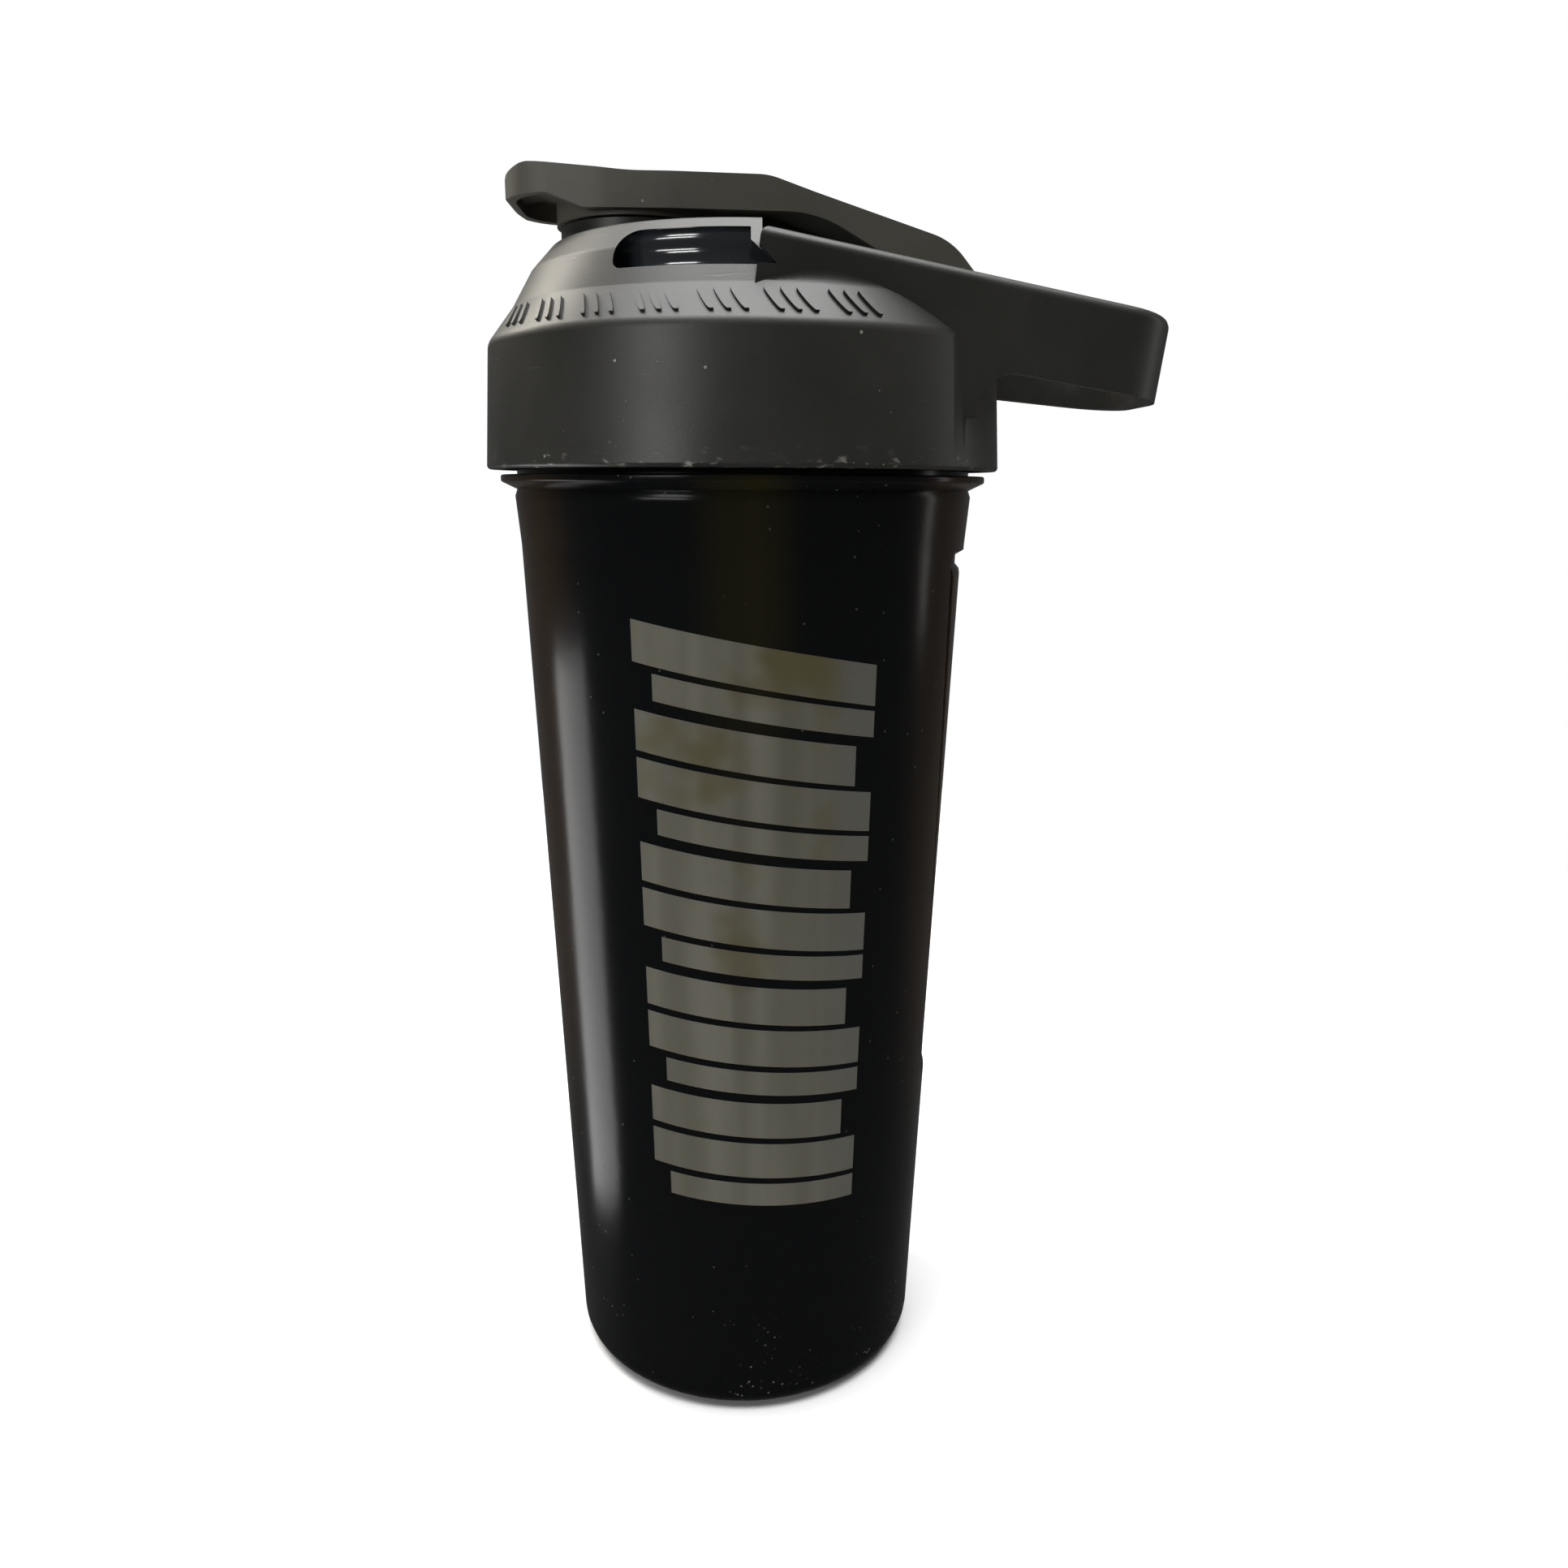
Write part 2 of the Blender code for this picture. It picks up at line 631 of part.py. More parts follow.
def loop_plan():
    """U outline (x, y) of the carry loop: outer side there, inner side back."""
    inner_x = LOOP_END_X - LOOP_WALL
    inner_r = LOOP_CORNER_R - LOOP_WALL
    half = [
        (LOOP_START_X, arm_y(LOOP_START_X, 0.0), 0.0),
        (LOOP_END_X, arm_y(LOOP_END_X, 0.0), LOOP_CORNER_R),
        (inner_x, arm_y(inner_x, LOOP_WALL), inner_r),
        (LOOP_START_X, arm_y(LOOP_START_X, LOOP_WALL), 0.0),
    ]
    outer = [half[0], half[1]]
    inner = [half[2], half[3]]
    mirror = [(x, -y, r) for x, y, r in reversed(outer)]
    mirror_inner = [(x, -y, r) for x, y, r in reversed(inner)]
    return rounded(outer + mirror + mirror_inner + inner)


def loop_lower_outline():
    """Side outline (x, z) that the loop is kept inside, with the arch at its root."""
    leave_x = math.sqrt(SKIRT_R ** 2 - LOOP_OFFSET ** 2) * math.cos(LOOP_ANGLE)
    leave_x += LOOP_OFFSET * math.sin(LOOP_ANGLE)
    root_x = leave_x + LOOP_ROOT_OUT
    root_z = LID_Z + LOOP_ROOT_H
    far_x = LOOP_END_X + OVERSHOOT
    lower_z = LID_Z + LOOP_BOTTOM_H
    high = LID_Z + LOOP_TOP_H + OVERSHOOT
    return rounded([
        (-OVERSHOOT, root_z, 0.0),
        (root_x, root_z, 0.0),
        (root_x, lower_z - LOOP_SLOPE * root_x, LOOP_ROOT_R),
        (far_x, lower_z - LOOP_SLOPE * far_x, 0.0),
        (far_x, high, 0.0),
        (-OVERSHOOT, high, 0.0),
    ], 2 * CORNER_STEPS)


def droop_loop(obj):
    """Leans the loop square to its slope, cuts its top and rounds its outer top edge."""
    work = bmesh.new()
    work.from_mesh(obj.data)
    for vert in work.verts:
        vert.co.x += LOOP_SLOPE * (vert.co.z - LID_Z - LOOP_MID_H)
    geometry = work.verts[:] + work.edges[:] + work.faces[:]
    top = bmesh.ops.bisect_plane(work, geom=geometry, plane_co=(0, 0, LID_Z + LOOP_TOP_H),
                                 plane_no=(LOOP_SLOPE, 0, 1), clear_outer=True)
    rim = [e for e in top["geom_cut"] if isinstance(e, bmesh.types.BMEdge)]
    bmesh.ops.edgeloop_fill(work, edges=rim)
    bmesh.ops.recalc_face_normals(work, faces=work.faces)
    middle = Vector((LOOP_END_X / 2, 0, 0))
    outer = []
    for edge in rim:
        wall = min(edge.link_faces, key=lambda face: face.normal.z)
        spoke = (edge.verts[0].co + edge.verts[1].co) / 2 - middle
        if wall.normal.x * spoke.x + wall.normal.y * spoke.y > 0:
            outer.append(edge)
    bmesh.ops.bevel(work, geom=outer, offset=LOOP_EDGE_R, offset_type="OFFSET", segments=2,
                    profile=0.5, affect="EDGES")
    work.to_mesh(obj.data)
    work.free()


def make_loop():
    low = LID_Z
    high = LID_Z + LOOP_TOP_H + OVERSHOOT
    loop = prism("loop_body", loop_plan(), "Z", low, high)
    droop_loop(loop)
    reach = LOOP_OFFSET + OVERSHOOT
    return keep_inside(loop, prism("loop_side", loop_lower_outline(), "Y", -reach, reach))


def spout_profile():
    base_r = SPOUT_R + SPOUT_BASE_OUT
    base_z = COVER_Z - FIT_GAP
    return [
        (0.0, SPOUT_TOP_Z),
        (SPOUT_R - SPOUT_TAPER, SPOUT_TOP_Z),
        (SPOUT_R, base_z),
        (base_r, base_z),
        (base_r, DECK_Z - DECK_WALL / 2),
        (0.0, DECK_Z - DECK_WALL / 2),
    ]


def make_knuckle():
    foot_z = HINGE_Z - SLOT_R - SLOT_WALL / 2
    corner = KNUCKLE_R - FIT_GAP / 3
    half = EAR_INNER_Y - KNUCKLE_GAP
    outline = rounded([
        (HINGE_X - KNUCKLE_R, foot_z, 0.0),
        (HINGE_X + KNUCKLE_R, foot_z, 0.0),
        (HINGE_X + KNUCKLE_R, HINGE_Z + KNUCKLE_R, corner),
        (HINGE_X - KNUCKLE_R, HINGE_Z + KNUCKLE_R, corner),
    ])
    return prism("knuckle", outline, "Y", -half, half)


def make_pocket(side):
    """Round-ended recess in the dome's flank, its other end leaning under the loop's arm."""
    floor_z = LID_Z + POCKET_FLOOR_H
    top_z = LID_Z + POCKET_TOP_H
    outline = rounded([
        (POCKET_START_X, floor_z, POCKET_FLOOR_R),
        (LOOP_START_X + POCKET_SLANT, floor_z, 0.0),
        (LOOP_START_X, floor_z + POCKET_SLANT, 0.0),
        (LOOP_START_X, top_z, 0.0),
        (POCKET_START_X, top_z, POCKET_CORNER_R),
    ])
    name = "pocket_" + ("left" if side > 0 else "right")
    low_y, high_y = sorted((side * CHAMBER_R / 2, side * (SKIRT_R + OVERSHOOT)))
    back = turned(name + "_back", [
        (0.0, DECK_Z), (POCKET_BACK_R, DECK_Z), (POCKET_BACK_R, LID_Z), (0.0, LID_Z),
    ], TURN_STEPS)
    return cut(prism(name, outline, "Y", low_y, high_y), back)


def make_lid(mat):
    body = turned("lid_body", lid_profile(), TURN_STEPS)
    spout = turned("spout_tube", spout_profile(), SMALL_STEPS, centre=(SPOUT_X, 0.0))
    bore = turned("spout_bore", [
        (0.0, SPOUT_TOP_Z + OVERSHOOT),
        (SPOUT_BORE_R, SPOUT_TOP_Z + OVERSHOOT),
        (SPOUT_BORE_R, CHAMBER_Z - OVERSHOOT / 2),
        (0.0, CHAMBER_Z - OVERSHOOT / 2),
    ], SMALL_STEPS, centre=(SPOUT_X, 0.0))
    slot = prism("cap_slot", slot_outline(0.0), "Y", -SLOT_HALF_W, SLOT_HALF_W)
    pin_bore = rod("knuckle_bore", PIN_R + PIN_GAP, HINGE_X, HINGE_Z, CAP_HALF_W, SMALL_STEPS)
    ridge = thread_ridge("lid_ridge", SKIRT_BORE_R, SKIRT_BORE_R - THREAD_DEPTH, LID_Z + THREAD_LIFT)
    join(body, make_loop())
    cut(body, make_pocket(-1), make_pocket(1), make_recess(), slot)
    join(body, spout, make_knuckle())
    cut(body, lid_hollow(), bore, pin_bore)
    join(body, ridge)
    return settle(body, "lid", mat, (0.0, 0.0, LID_Z))


# ---------------------------------------------------------------- flip cap

def cap_side():
    """Side outline (x, z) of the cap: tip, top, ears around the hinge, lower edge."""
    tip_x = CAP_TIP_X - FIT_GAP
    lip_z = LID_Z + CAP_LIP_H
    lower_z = LID_Z + CAP_LOWER_H
    ear = arc(HINGE_X, HINGE_Z, EAR_R, EAR_START, EAR_END, 3 * CORNER_STEPS)
    ear_corners = [(x, z, 0.0) for x, z in ear]
    return rounded([
        (tip_x, lip_z + CAP_LIP_IN / 2, 0.0),
        (tip_x, LID_Z + CAP_TIP_H, CAP_TIP_R),
        (CAP_TIP_X + CAP_BROW_RUN, LID_Z + CAP_BROW_H, CAP_BROW_R),
        (HINGE_X - CAP_DIP_RUN, LID_Z + CAP_DIP_H, CAP_DIP_R),
        (HINGE_X - CAP_BEND_RUN, LID_Z + CAP_BEND_H, CAP_BEND_R),
        (HINGE_X + CAP_TAIL_RUN, LID_Z + CAP_TAIL_H, CAP_TAIL_R),
    ] + ear_corners + [
        (HINGE_X - CAP_LOWER_RUN, lower_z, CAP_LOWER_R),
        (CAP_TIP_X + CAP_CHIN_RUN, lower_z, CAP_CHIN_R),
        (CAP_TIP_X + CAP_LIP_RUN, lip_z, CAP_CHIN_R),
        (CAP_TIP_X + CAP_LIP_IN, lip_z, 0.0),
    ])


def cap_plan(inset, ear_y, tail_x):
    """Plan outline (x, y) of the cap, inset from its sides."""
    waist_x = HINGE_X - CAP_WAIST_RUN
    ear_x = HINGE_X - SLOT_R - SLOT_WALL
    belly = CAP_BELLY_HALF_W - inset
    half = [
        (CAP_TIP_X + inset, CAP_NOSE_HALF_W - inset, CAP_NOSE_R - inset),
        (SPOUT_X - COVER_R / 3, belly, CAP_BELLY_R),
        (SPOUT_X + COVER_R / 2, belly, CAP_BELLY_R),
        (waist_x, CAP_HALF_W - inset, CAP_BELLY_R),
        (ear_x, CAP_HALF_W - inset, 0.0),
        (ear_x + CAP_WALL, ear_y, 0.0),
        (tail_x, ear_y, 0.0),
    ]
    return rounded(half + [(x, -y, r) for x, y, r in reversed(half)])


def cap_hollow_side():
    """Side outline (x, z) of the cap's hollow; the top plate ends before the hinge axis."""
    slope = (CAP_BEND_H - CAP_TAIL_H) / (CAP_BEND_RUN + CAP_TAIL_RUN)
    drop = CAP_WALL / math.cos(math.atan(slope))
    plate_x = HINGE_X - CAP_PLATE_RUN
    plate_z = LID_Z + CAP_BEND_H - drop - slope * (CAP_BEND_RUN - CAP_PLATE_RUN)
    far_x = HINGE_X + EAR_R + OVERSHOOT
    high = LID_Z + CAP_BROW_H + OVERSHOOT
    low = HINGE_Z - EAR_R - OVERSHOOT
    return rounded([
        (CAP_TIP_X + CAP_WALL, low, 0.0),
        (CAP_TIP_X + CAP_WALL, LID_Z + CAP_TIP_H - CAP_WALL, 0.0),
        (CAP_TIP_X + CAP_BROW_RUN, LID_Z + CAP_BROW_H - CAP_WALL, CAP_BROW_R),
        (HINGE_X - CAP_DIP_RUN, LID_Z + CAP_DIP_H - CAP_WALL, CAP_DIP_R),
        (HINGE_X - CAP_BEND_RUN, LID_Z + CAP_BEND_H - CAP_WALL, CAP_BEND_R - CAP_WALL),
        (plate_x, plate_z, 0.0),
        (plate_x + CAP_WALL / 2, high, 0.0),
        (far_x, high, 0.0),
        (far_x, low, 0.0),
    ])


def make_flip_cap(mat):
    reach = CAP_BELLY_HALF_W + OVERSHOOT
    tail_x = HINGE_X + EAR_R + OVERSHOOT
    body = prism("cap_body", cap_side(), "Y", -reach, reach)
    plan = prism("cap_plan", cap_plan(0.0, CAP_HALF_W, tail_x), "Z",
                 HINGE_Z - 2 * EAR_R, LID_Z + CAP_BROW_H + OVERSHOOT)
    keep_inside(body, plan)
    edge = body.modifiers.new("edges", "BEVEL")
    edge.width = CAP_EDGE_R
    edge.segments = 2
    edge.limit_method = "ANGLE"
    edge.angle_limit = BEVEL_CREASE
    hollow = prism("cap_hollow", cap_hollow_side(), "Y", -reach, reach)
    hollow_plan = prism("cap_hollow_plan", cap_plan(CAP_WALL, EAR_INNER_Y, tail_x + OVERSHOOT), "Z",
                        HINGE_Z - 4 * EAR_R, LID_Z + CAP_BROW_H + 2 * OVERSHOOT)
    keep_inside(hollow, hollow_plan)
    cover_top = CEILING_Z + CAP_WALL / 2
    cover = turned("cover_ring", [
        (0.0, cover_top), (COVER_R, cover_top), (COVER_R, COVER_Z), (0.0, COVER_Z),
    ], RING_STEPS, centre=(SPOUT_X, 0.0))
    cover_bore = turned("cover_bore", [
        (0.0, CEILING_Z), (COVER_BORE_R, CEILING_Z),
        (COVER_BORE_R, COVER_Z - OVERSHOOT), (0.0, COVER_Z - OVERSHOOT),
    ], RING_STEPS, centre=(SPOUT_X, 0.0))
    blind = rod("ear_holes", PIN_R + PIN_GAP, HINGE_X, HINGE_Z, CAP_HALF_W - PIN_SKIN, SMALL_STEPS)
    cut(body, hollow)
    join(body, cover)
    cut(body, cover_bore, blind)
    return settle(body, "flip_cap", mat, (HINGE_X, 0.0, HINGE_Z))


# ---------------------------------------------------------------- small pieces

def make_spout_seal(mat):
    plug_z = SPOUT_TOP_Z + FIT_GAP
    plug_r = SPOUT_BORE_R - SEAL_PLUG_GAP
    tip_r = plug_r - SEAL_PLUG_TAPER
    dish_r = tip_r - SEAL_WALL
    seal = turned("seal_body", [
        (0.0, plug_z + SEAL_DISC_T),
        (COVER_BORE_R - FIT_GAP, plug_z + SEAL_DISC_T),
        (COVER_BORE_R - FIT_GAP, plug_z),
        (plug_r, plug_z),
        (tip_r, plug_z - SEAL_PLUG_H),
        (dish_r, plug_z - SEAL_PLUG_H),
        (dish_r, plug_z - SEAL_PLUG_H + SEAL_DISH_D),
        (0.0, plug_z - SEAL_PLUG_H + SEAL_DISH_D),
    ], RING_STEPS, centre=(SPOUT_X, 0.0))
    return settle(seal, "spout_seal", mat, (HINGE_X, 0.0, HINGE_Z))


def make_lid_gasket(mat):
    inner_r = PLUG_RING_R + FIT_GAP
    outer_r = NECK_R + GASKET_OVER
    edge_r = GASKET_T / 4
    ring = turned("gasket_body", rounded([
        (inner_r, GASKET_Z + GASKET_T, edge_r),
        (outer_r, GASKET_Z + GASKET_T, edge_r),
        (outer_r, GASKET_Z, edge_r),
        (inner_r, GASKET_Z, edge_r),
    ], 2), TURN_STEPS, closed=True)
    return settle(ring, "lid_gasket", mat, (0.0, 0.0, GASKET_Z))


def make_mixing_grid(mat):
    inner_r = GRID_COLLAR_R - GRID_COLLAR_WALL
    top_z = GRID_Z + GRID_FLANGE_T
    grid = turned("grid_collar", [
        (GRID_COLLAR_R, top_z + GRID_COLLAR_H),
        (GRID_COLLAR_R, top_z),
        (PLUG_RING_R, top_z),
        (PLUG_RING_R, GRID_Z),
        (inner_r, GRID_Z),
        (inner_r, top_z + GRID_COLLAR_H),
    ], TURN_STEPS, closed=True)
    spoke_start = GRID_HUB_R - GRID_BAR_W / 2
    spoke_end = inner_r + GRID_COLLAR_WALL / 2
    half = GRID_BAR_W / 2
    hub = turned("grid_hub", [
        (0.0, top_z), (GRID_HUB_R, top_z), (GRID_HUB_R, GRID_Z), (0.0, GRID_Z),
    ], SMALL_STEPS)
    join(grid, hub)
    for i in range(GRID_SPOKES):
        outline = [(spoke_start, -half), (spoke_end, -half), (spoke_end, half), (spoke_start, half)]
        spoke = prism("grid_spoke_%02d" % i, outline, "Z", GRID_Z + GRID_INSET, top_z - GRID_INSET)
        spoke.data.transform(Matrix.Rotation(2 * math.pi * i / GRID_SPOKES, 4, "Z"))
        join(grid, spoke)
    rings = int((inner_r - GRID_PITCH / 2) / GRID_PITCH)
    for i in range(rings):
        middle = GRID_PITCH * (i + 1)
        ring = turned("grid_ring_%d" % i, [
            (middle - half, top_z), (middle + half, top_z), (middle + half, GRID_Z), (middle - half, GRID_Z),
        ], RING_STEPS, closed=True)
        join(grid, ring)
    return settle(grid, "mixing_grid", mat, (0.0, 0.0, GRID_Z))


def make_hinge_pin(mat):
    pin = rod("pin_body", PIN_R, HINGE_X, HINGE_Z, CAP_HALF_W - PIN_SKIN - FIT_GAP, SMALL_STEPS)
    edge = pin.modifiers.new("ends", "BEVEL")
    edge.width = PIN_EDGE
    edge.segments = 2
    return settle(pin, "hinge_pin", mat, (HINGE_X, 0.0, HINGE_Z))


# ---------------------------------------------------------------- assembly

def build():
    smoke = material("smoky_clear_plastic", (0.020, 0.020, 0.019), 0.12)
    charcoal = material("charcoal_plastic", (0.034, 0.033, 0.029), 0.45)
    warm_grey = material("warm_grey_plastic", (0.060, 0.057, 0.048), 0.50)
    silicone = material("black_silicone", (0.030, 0.030, 0.030), 0.70)
    grid_black = material("grid_plastic", (0.040, 0.040, 0.040), 0.40)
    steel = material("steel", (0.600, 0.600, 0.610), 0.25)
    make_cup(smoke)
    make_lid(charcoal)
    make_flip_cap(warm_grey)
    make_spout_seal(silicone)
    make_lid_gasket(silicone)
    make_mixing_grid(grid_black)
    make_hinge_pin(steel)


build()
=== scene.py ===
"""A protein shaker bottle in fine detail: moulded lid and flip cap, smoky cup, print and ribs.

Metres, +Z up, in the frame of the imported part. The carry loop lies towards +X, the spout
towards -X, and the printed side faces -Y.
"""

import json
import math

import bmesh
import bpy
import numpy as np
from mathutils import Matrix, Vector

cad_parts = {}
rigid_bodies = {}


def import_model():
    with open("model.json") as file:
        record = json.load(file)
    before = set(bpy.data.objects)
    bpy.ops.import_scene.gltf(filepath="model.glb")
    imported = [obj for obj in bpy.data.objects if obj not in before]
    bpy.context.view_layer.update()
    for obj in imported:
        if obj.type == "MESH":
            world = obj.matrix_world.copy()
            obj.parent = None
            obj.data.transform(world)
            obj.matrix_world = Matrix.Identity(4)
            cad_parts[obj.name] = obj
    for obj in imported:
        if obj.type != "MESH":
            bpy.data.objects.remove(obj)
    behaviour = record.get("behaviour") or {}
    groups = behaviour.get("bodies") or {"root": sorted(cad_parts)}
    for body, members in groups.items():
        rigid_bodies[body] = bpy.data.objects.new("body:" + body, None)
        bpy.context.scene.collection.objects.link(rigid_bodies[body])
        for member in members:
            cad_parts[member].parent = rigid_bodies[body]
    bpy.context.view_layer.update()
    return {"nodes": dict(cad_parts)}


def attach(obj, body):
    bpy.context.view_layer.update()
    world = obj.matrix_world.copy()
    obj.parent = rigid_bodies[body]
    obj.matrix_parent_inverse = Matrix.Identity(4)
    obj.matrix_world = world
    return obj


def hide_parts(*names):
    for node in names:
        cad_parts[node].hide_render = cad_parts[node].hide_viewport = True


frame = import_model()

# ---------------------------------------------------------------- driving sizes

FIT_GAP = 0.0003           # clearance that resting pieces keep
SLIDE_GAP = 0.0005         # clearance around pieces that slip into each other

# cup
CUP_BASE_R = 0.0357        # outer radius at the base
CUP_MOUTH_R = 0.0425       # outer radius where the shoulder flare begins
CUP_BODY_H = 0.1680        # height of the plain taper
CUP_WALL = 0.0024
CUP_FLOOR = 0.0030
CUP_CORNER_R = 0.0042      # rounding between wall and base
FOOT_GROOVE_R = 0.0240     # middle of the ring groove under the base
FOOT_GROOVE_W = 0.0060
FOOT_GROOVE_D = 0.0008
FLARE_H = 0.0096           # flare above the taper
FLARE_OUT = 0.0008         # how far the flare stands out
FLARE_R = 0.0300           # soft bend where the flare begins
COLLAR_H = 0.0030          # flange that the lid closes onto
COLLAR_OUT = 0.0030        # flange beyond the neck
COLLAR_LIP = 0.0012        # straight edge of the flange
NECK_OUT = 0.0003          # neck beyond the mouth radius
NECK_H = 0.0200            # from the flange to the rim
NECK_WALL = 0.0024

# sight panel on the rear of the cup
PANEL_BOTTOM = 0.0600
PANEL_DROP = 0.0010        # panel top below the end of the taper
PANEL_BOTTOM_W = 0.0240
PANEL_TOP_W = 0.0400
PANEL_FRAME_W = 0.0035     # width of the sunk frame around the pad
PANEL_FRAME_D = 0.0015     # depth of the frame
PANEL_PAD_D = 0.0005       # depth of the pad

# thread
THREAD_LEAD = 0.0050
THREAD_TURNS = 1.75
THREAD_DEPTH = 0.0018
THREAD_ROOT_W = 0.0022
THREAD_CREST_W = 0.0010
THREAD_FLANK_GAP = 0.0004
THREAD_CREST_GAP = 0.0008
THREAD_SINK = 0.0006       # how deep a ridge is rooted in its wall
THREAD_LIFT = 0.0026       # middle of the lid's ridge above the skirt's edge

# lid, heights above the skirt's lower edge
SKIRT_WALL = 0.0028
SKIRT_GAP = 0.0009         # skirt's lower edge above the cup's flange
SKIRT_H = 0.0218           # drafted side, up to the shoulder
SKIRT_DRAFT = 0.0012       # narrower at the shoulder
SKIRT_EDGE_R = 0.0007
SHOULDER_R = 0.0030
DOME_FOOT_IN = 0.0058      # shallow cone meets steep cone, inside the skirt's radius
DOME_FOOT_H = 0.0279
DOME_RIM_IN = 0.0094       # steep cone meets the bevel
DOME_RIM_H = 0.0342
DECK_IN = 0.0134
DECK_H = 0.0386
DECK_EDGE_R = 0.0013
DECK_WALL = 0.0024
CHAMBER_IN = 0.0058        # hollow under the deck, inside the plug ring's bore
CHAMBER_FLARE_H = 0.0250   # where that hollow starts to narrow
CHAMBER_FLARE = 0.0050
PLUG_RING_WALL = 0.0016
PLUG_RING_H = 0.0080
GASKET_T = 0.0015

# carry loop
LOOP_IN = 0.0074           # outer face of an arm inside the skirt's radius
LOOP_ANGLE = math.radians(18.4)
LOOP_START_X = 0.0012
LOOP_REACH = 0.0293        # beyond the skirt, at the loop's mid height
LOOP_WALL = 0.0027
LOOP_CORNER_R = 0.0150
LOOP_SLOPE = 0.1275        # the loop droops towards its end
LOOP_MID_H = 0.0233
LOOP_TOP_H = 0.0367        # top edge over the cup's axis
LOOP_BOTTOM_H = 0.0219     # lower edge over the cup's axis
LOOP_EDGE_R = 0.0018       # rounding on the outer top edge
LOOP_ROOT_OUT = 0.0021     # foot of the arch beyond where an arm leaves the skirt
LOOP_ROOT_H = 0.0087
LOOP_ROOT_R = 0.0068       # arch between lower edge and skirt

# recess between the loop's arms, around the hinge
RECESS_X = 0.0030          # its front wall
RECESS_H = 0.0333          # its floor over the cup's axis
RECESS_WALL = 0.0022

# flank pockets
POCKET_FLOOR_H = 0.0306
POCKET_TOP_H = 0.0369
POCKET_START_X = -0.0208   # rounded end
POCKET_CORNER_R = 0.0048
POCKET_FLOOR_R = 0.0013
POCKET_SLANT = 0.0040      # how far the other end leans under the arm

# spout
SPOUT_IN = 0.0153          # spout's axis inside the deck's radius
SPOUT_BORE_R = 0.0094
SPOUT_WALL = 0.0024
SPOUT_TAPER = 0.0004
SPOUT_H = 0.0075           # above the deck
SPOUT_BASE_OUT = 0.0020
COVER_GAP = 0.0011         # between spout and the cap's ring around it
COVER_WALL = 0.0016
COVER_H = 0.0042           # ring's lower edge above the deck

# flip cap, heights above the skirt's lower edge
HINGE_IN = 0.0127          # hinge axis inside the skirt's radius
HINGE_FLOOR = 0.0009       # groove's underside above the face that seats the gasket
EAR_R = 0.0060             # rounded ears of the cap around the hinge
EAR_T = 0.0030
EAR_START = math.radians(15)       # the ear's round runs from the top of its rear
EAR_END = math.radians(-200)       # down and round to the lower edge
CAP_TIP_IN = 0.0058
CAP_TIP_H = 0.0499         # where the tab's face bends back
CAP_TIP_R = 0.0022
CAP_BROW_RUN = 0.0042      # where that bend meets the top, from the tip
CAP_BROW_H = 0.0514
CAP_BROW_R = 0.0060
CAP_DIP_RUN = 0.0555       # slight dip in the top, from the hinge axis
CAP_DIP_H = 0.0495
CAP_DIP_R = 0.0600
CAP_BEND_RUN = 0.0310      # bend in the top, from the hinge axis
CAP_BEND_H = 0.0494
CAP_BEND_R = 0.0120
CAP_TAIL_RUN = 0.0011      # corner over the ears, behind the hinge axis
CAP_TAIL_H = 0.0392
CAP_TAIL_R = 0.0120
CAP_PLATE_RUN = 0.0028     # the top plate ends this far before the hinge axis
CAP_LIP_H = 0.0462         # lower edge of the thumb tab
CAP_LIP_IN = 0.0012        # the tab's face leans in by this much at its lower edge
CAP_LIP_RUN = 0.0085       # length of the tab's lower edge
CAP_CHIN_RUN = 0.0150      # full depth of the side wall starts this far from the tip
CAP_CHIN_R = 0.0040
CAP_LOWER_H = 0.0436
CAP_LOWER_RUN = 0.0225     # from the hinge axis to the bend in the lower edge
CAP_LOWER_R = 0.0200
CAP_WALL = 0.0018
CAP_HALF_W = 0.0138        # at the hinge
CAP_NOSE_HALF_W = 0.0131   # at the thumb tab
CAP_NOSE_R = 0.0100
CAP_BELLY_OVER = 0.0013    # over the spout, beyond the cover ring
CAP_BELLY_R = 0.0200
CAP_WAIST_RUN = 0.0230     # full hinge width starts this far before the hinge axis
CAP_EDGE_R = 0.0009
CAP_SIDE_GAP = 0.0006

# hinge
PIN_R = 0.0015
PIN_GAP = 0.0001
PIN_SKIN = 0.0009          # blind end of the pin's hole in an ear
KNUCKLE_R = 0.0034
KNUCKLE_GAP = 0.0004
SLOT_R = 0.0079            # groove in the dome that the ears turn in
SLOT_START = math.radians(165)     # where the groove's round begins
SLOT_GAP = 0.0009          # under the cap
SLOT_WALL = 0.0020

# pieces inside the lid and the cap
GRID_FLANGE_T = 0.0018
SEAL_DISC_T = 0.0009

# facets
TURN_STEPS = 192
SMALL_STEPS = 90
RING_STEPS = 96
THREAD_STEPS = 96
CORNER_STEPS = 8
TURNED_CORNER_STEPS = 7
OVERSHOOT = 0.0100         # how far cutters run past what they cut
MERGE = 0.00001
SEAM_MERGE = 0.000002
CREASE = math.radians(35)
BEVEL_CREASE = math.radians(50)

FLAT_ANGLE = math.radians(0.2)
LID_EDGE = 0.00022         # broken edges of the mouldings
CAP_TRIM_EDGE = 0.00018

# meshes of the cup
CUP_ROW = 0.0009
CUP_ROW_INSIDE = 0.0060
CUP_COLUMNS = 150
PANEL_COLUMNS = 170
PANEL_SECTOR = math.radians(34)
PANEL_EDGE = 0.0006        # width of the panel's slopes

# soft waves in the pockets' polished wall
POCKET_WAVE = 0.0042
POCKET_WAVE_D = 0.00012

